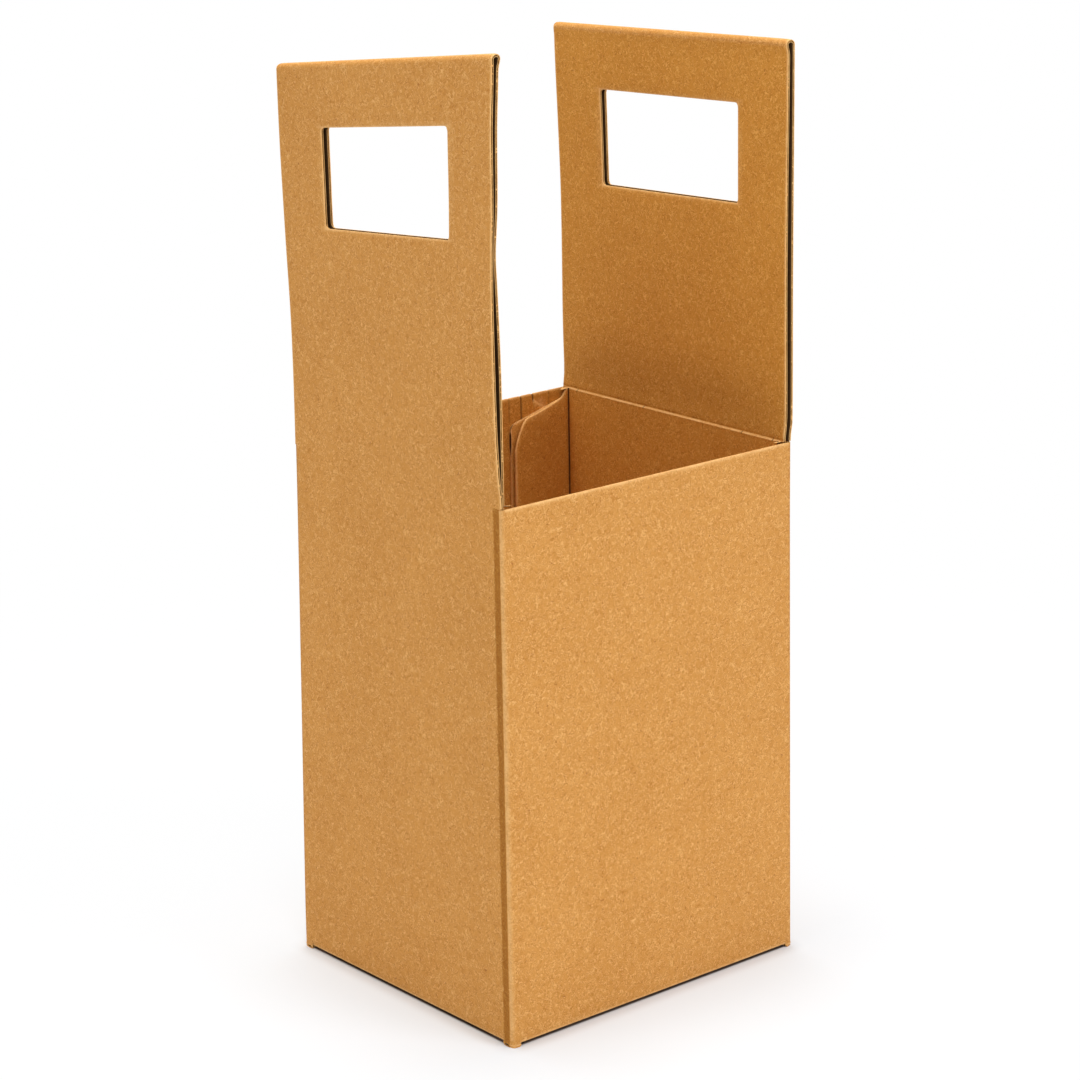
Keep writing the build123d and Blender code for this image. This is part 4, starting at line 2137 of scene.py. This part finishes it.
@dataclass(frozen=True)
class KraftLiner:
    """The smooth brown paper of the board's two faces, with its fibres, specks and wear, and with
    painted highlights, shade and bounce-light tint.
    """

    name: str = "kraft_liner"
    base: Colour = (0.690, 0.325, 0.078, 1.0)
    deep: Colour = (0.560, 0.242, 0.048, 1.0)
    pale_fibre: Colour = (0.900, 0.520, 0.190, 1.0)
    # painted shadow along one side of each pale fibre
    fibre_shadow: Colour = (0.430, 0.150, 0.022, 1.0)
    speck: Colour = (0.380, 0.120, 0.026, 1.0)
    # pale colour of wear, also used for painted highlights
    pale_wear_and_highlight: Colour = (0.930, 0.560, 0.230, 1.0)
    crease_shade_tint: Colour = (0.620, 0.505, 0.240, 1.0)  # painted shade in creases: what it leaves of the colour
    gap_dark: Colour = (0.026, 0.009, 0.003, 1.0)
    painted_bounce_tint: Colour = (1.0, 0.945, 0.64, 1.0)  # painted warm tint of the faces turned inwards, standing in for light bounced inside the box
    roughness: float = 0.82
    fibres: tuple[Fibres, ...] = (
        Fibres(420.0, (0.31, 0.17, 0.43), 0.060, 0.45, 0.44),
        Fibres(560.0, (0.12, 0.83, 0.37), 0.072, 0.43, 0.44),
        Fibres(300.0, (0.73, 0.57, 0.11), 0.036, 0.60, 0.50),
    )

    def make(self) -> bpy.types.Material:
        """Build the material.

        Returns:
            The material.
        """
        material = bpy.data.materials.new(self.name)
        graph = Graph(material)
        place = graph.place()
        broad = graph.noise(place, 26.0, 3.0, 0.55)
        cloud = graph.noise(place, 150.0, 3.0, 0.6)
        grain = graph.noise(place, 1100.0, 3.0, 0.65)
        tone = (broad - 0.5) * 0.45 + (cloud - 0.5) * 0.22 + (grain - 0.5) * 0.7 + 0.5
        colour = graph.mix(tone.between(0.05, 0.95), self.deep, self.base)
        relief = grain * 0.4 + cloud * 0.4
        for fibres in self.fibres:
            pale, dark = fibres.masks(graph, place)
            colour = graph.mix(pale * fibres.strength, colour, self.pale_fibre)
            # Painted shadow along one side of each fibre
            colour = graph.mix(dark * fibres.strength, colour, self.fibre_shadow)
            relief = relief + (pale - dark)
        dots = graph.noise(graph.shifted(place, (0.5, 0.2, 0.9)), 620.0, 1.0, 0.5)
        colour = graph.mix(dots.between(0.72, 0.78) * 0.7, colour, self.speck)
        # Painted warm tint on the faces turned inwards, standing in for light bounced inside the
        # box
        colour = graph.mix(graph.attribute("bounce_tint"), colour, self.painted_bounce_tint, "MULTIPLY")
        # Pale wear, with painted highlights along the rim, the folds, the ledge and the near
        # corner
        nicked = cloud.between(0.42, 0.62) * 0.3 + grain.between(0.4, 0.62) * 0.3 + 0.4
        colour = graph.mix(graph.attribute("wear_and_highlight") * nicked * 0.95, colour, self.pale_wear_and_highlight)
        # Painted shade at creases and beside the top fold, broken up by the noise
        crease = (graph.attribute("crease") + (cloud + grain - 1.0) * 0.8).between(0.2, 0.9)
        colour = graph.mix(crease, colour, self.crease_shade_tint, "MULTIPLY")
        sockets = {
            "Base Color": graph.mix(graph.attribute("shade"), colour, self.gap_dark),
            "Roughness": self.roughness - relief * 0.04,
            "Normal": graph.bump(0.35, relief),
            "Specular IOR Level": 0.2,
        }
        graph.dress("BSDF_PRINCIPLED", sockets)
        return material


@dataclass(frozen=True)
class CutEdge:
    """The pale, furry edge of cut paper."""

    name: str
    base: Colour
    deep: Colour
    gap_dark: Colour = (0.030, 0.011, 0.004, 1.0)
    roughness: float = 0.95

    def make(self) -> bpy.types.Material:
        """Build the material.

        Returns:
            The material.
        """
        material = bpy.data.materials.new(self.name)
        graph = Graph(material)
        place = graph.place()
        fuzz = graph.noise(place, 1700.0, 3.0, 0.7)
        patches = graph.noise(place, 260.0, 2.0, 0.6)
        tone = (fuzz - 0.5) * 1.4 + (patches - 0.5) * 1.3 + 0.5
        colour = graph.mix(tone.between(0.1, 0.9), self.deep, self.base)
        sockets = {
            "Base Color": graph.mix(graph.attribute("shade"), colour, self.gap_dark),
            "Roughness": self.roughness,
            "Normal": graph.bump(0.6, fuzz),
            "Specular IOR Level": 0.2,
        }
        graph.dress("BSDF_PRINCIPLED", sockets)
        return material


# The studio

WHITE: Colour = (1.0, 1.0, 1.0, 1.0)


@dataclass(frozen=True)
class Lamp:
    """A soft round lamp that points at the middle of the carrier. Lengths are in metres."""

    name: str
    place: Triple
    power: float
    size: float = 1.0
    colour: Triple = (1.0, 1.0, 1.0)
    target: Triple = (0.0, 0.0, 0.2)

    def hang(self) -> None:
        """Add the lamp to the scene."""
        data = bpy.data.lights.new(self.name, "AREA")
        data.shape = "DISK"
        data.size = self.size
        data.energy = self.power
        data.color = self.colour
        lamp = link_object(self.name, data)
        lamp.location = self.place
        aim = Vector(self.target) - Vector(self.place)
        lamp.rotation_euler = aim.to_track_quat("-Z", "Y").to_euler()


@dataclass
class Studio:
    """The floor, the lights and the camera. Lengths are in metres."""

    camera_place: Triple = (-0.8311, -0.9995, 0.5610)
    right: Triple = (0.76553, -0.64317, -0.01712)
    down: Triple = (-0.19033, -0.20097, -0.96093)
    forward: Triple = (0.6146, 0.73888, -0.27626)
    lens: float = 105.34
    sensor: float = 36.0
    view_range: Pair = (0.05, 40.0)
    floor_half: float = 8.0
    shadow_half: Triple = (0.0779, 0.0714, 1.0)  # of the footprint, less its corners' radius
    shadow_corner: float = 0.0016
    painted_contact_shadow: Colour = (0.10, 0.075, 0.06, 1.0)  # painted contact shadow: the floor's colour under the footprint's edge
    contact_shadow_fade: Pair = (-0.0016, -0.0004)
    paint: Colour = (0.78, 0.80, 0.82, 1.0)
    floor_fades: tuple[Triple, ...] = (  # distances from the footprint, and a share of white
        (0.0006, 0.008, 0.45),
        (0.0, 0.12, 0.45),
        (0.2, 0.6, 0.1),
    )
    sky_level: float = 0.46
    lamps: tuple[Lamp, ...] = (
        Lamp("key", (0.75, -1.9, 1.65), 21.2, 1.1, (0.97, 1.0, 1.08)),
        Lamp("front_left", (-0.9, -1.5, 1.9), 10.9),
        Lamp("left", (-1.3, 0.2, 2.1), 10.2, 1.0, (1.03, 1.0, 0.96)),
        Lamp("top", (0.1, 0.3, 2.4), 32.0),
    )

    def build(self) -> None:
        """Make everything round the object."""
        self._floor()
        self._sky()
        for lamp in self.lamps:
            lamp.hang()
        self._camera()
        bpy.context.scene.view_settings.view_transform = "Standard"

    def _floor(self) -> None:
        """Lay a pale floor that keeps the object's shadow and fades to white."""
        mesh = bmesh.new()
        bmesh.ops.create_grid(mesh, x_segments=4, y_segments=4, size=self.floor_half)
        data = bpy.data.meshes.new("floor")
        mesh.to_mesh(data)
        mesh.free()
        data.materials.append(self._floor_finish())
        link_object("floor", data)

    def _floor_finish(self) -> bpy.types.Material:
        """Paint the floor, with a painted contact shadow under the footprint's edge, and white far
        from it.

        Returns:
            The material.
        """
        material = bpy.data.materials.new("white_floor")
        graph = Graph(material)
        past = graph.add("ShaderNodeVectorMath", {"operation": "ABSOLUTE"}, {0: graph.place()})
        for operation, other in (("SUBTRACT", self.shadow_half), ("MAXIMUM", (0.0, 0.0, 0.0))):
            past = graph.add("ShaderNodeVectorMath", {"operation": operation}, {0: past, 1: other})
        far = graph.add("ShaderNodeVectorMath", {"operation": "LENGTH"}, {0: past}, "Value")
        far = far - self.shadow_corner
        # Painted contact shadow under the footprint's edge, fading out just inside it
        colour = graph.mix(far.between(*self.contact_shadow_fade), self.painted_contact_shadow, self.paint)
        plain = graph.dress("BSDF_PRINCIPLED", {"Base Color": colour, "Roughness": 0.9})
        glow = graph.add("ShaderNodeEmission", {}, {"Color": WHITE, "Strength": 1.0})
        near, *further = (far.between(low, high) * share for low, high, share in self.floor_fades)
        graph.show(sum(further, near) * graph.seen(), plain, glow)
        return material

    def _sky(self) -> None:
        """Light the scene evenly, and show white where the camera sees past the floor."""
        world = bpy.data.worlds.new("studio")
        bpy.context.scene.world = world
        graph = Graph(world)
        light = graph.dress("BACKGROUND", {"Color": WHITE, "Strength": self.sky_level})
        white = graph.add("ShaderNodeBackground", {}, {"Color": WHITE, "Strength": 1.0})
        graph.show(graph.seen(), light, white)

    def _camera(self) -> None:
        """Place the camera where the carrier is seen from."""
        data = bpy.data.cameras.new("camera")
        data.lens = self.lens
        data.sensor_width = self.sensor
        data.clip_start, data.clip_end = self.view_range
        camera = link_object("camera", data)
        axes = Matrix((self.right, -Vector(self.down), -Vector(self.forward))).transposed()
        camera.matrix_world = Matrix.Translation(self.camera_place) @ axes.to_4x4()
        bpy.context.scene.camera = camera


def main() -> None:
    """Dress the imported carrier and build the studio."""
    logging.basicConfig(level=logging.INFO, format="%(name)s %(message)s")
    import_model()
    liner = KraftLiner().make()
    edge, medium, medium_edge = (
        CutEdge(name, base, deep).make()
        for name, base, deep in (
            ("cut_liner", (0.95, 0.57, 0.21, 1.0), (0.80, 0.42, 0.13, 1.0)),
            # the medium's broad faces are painted darker, as painted shade in the flute hollows
            ("medium", (0.46, 0.22, 0.058, 1.0), (0.27, 0.115, 0.026, 1.0)),
            ("cut_medium", (0.70, 0.37, 0.12, 1.0), (0.40, 0.18, 0.045, 1.0)),
        )
    )
    maker = SheetMaker(CarrierSheet())
    maker.build(Layer.OUTER_LINER, [liner, edge])
    maker.build(Layer.INNER_LINER, [liner, edge])
    maker.build(Layer.FLUTED_MEDIUM, [medium, medium_edge, edge])
    Studio().build()


if __name__ == "__main__":
    main()
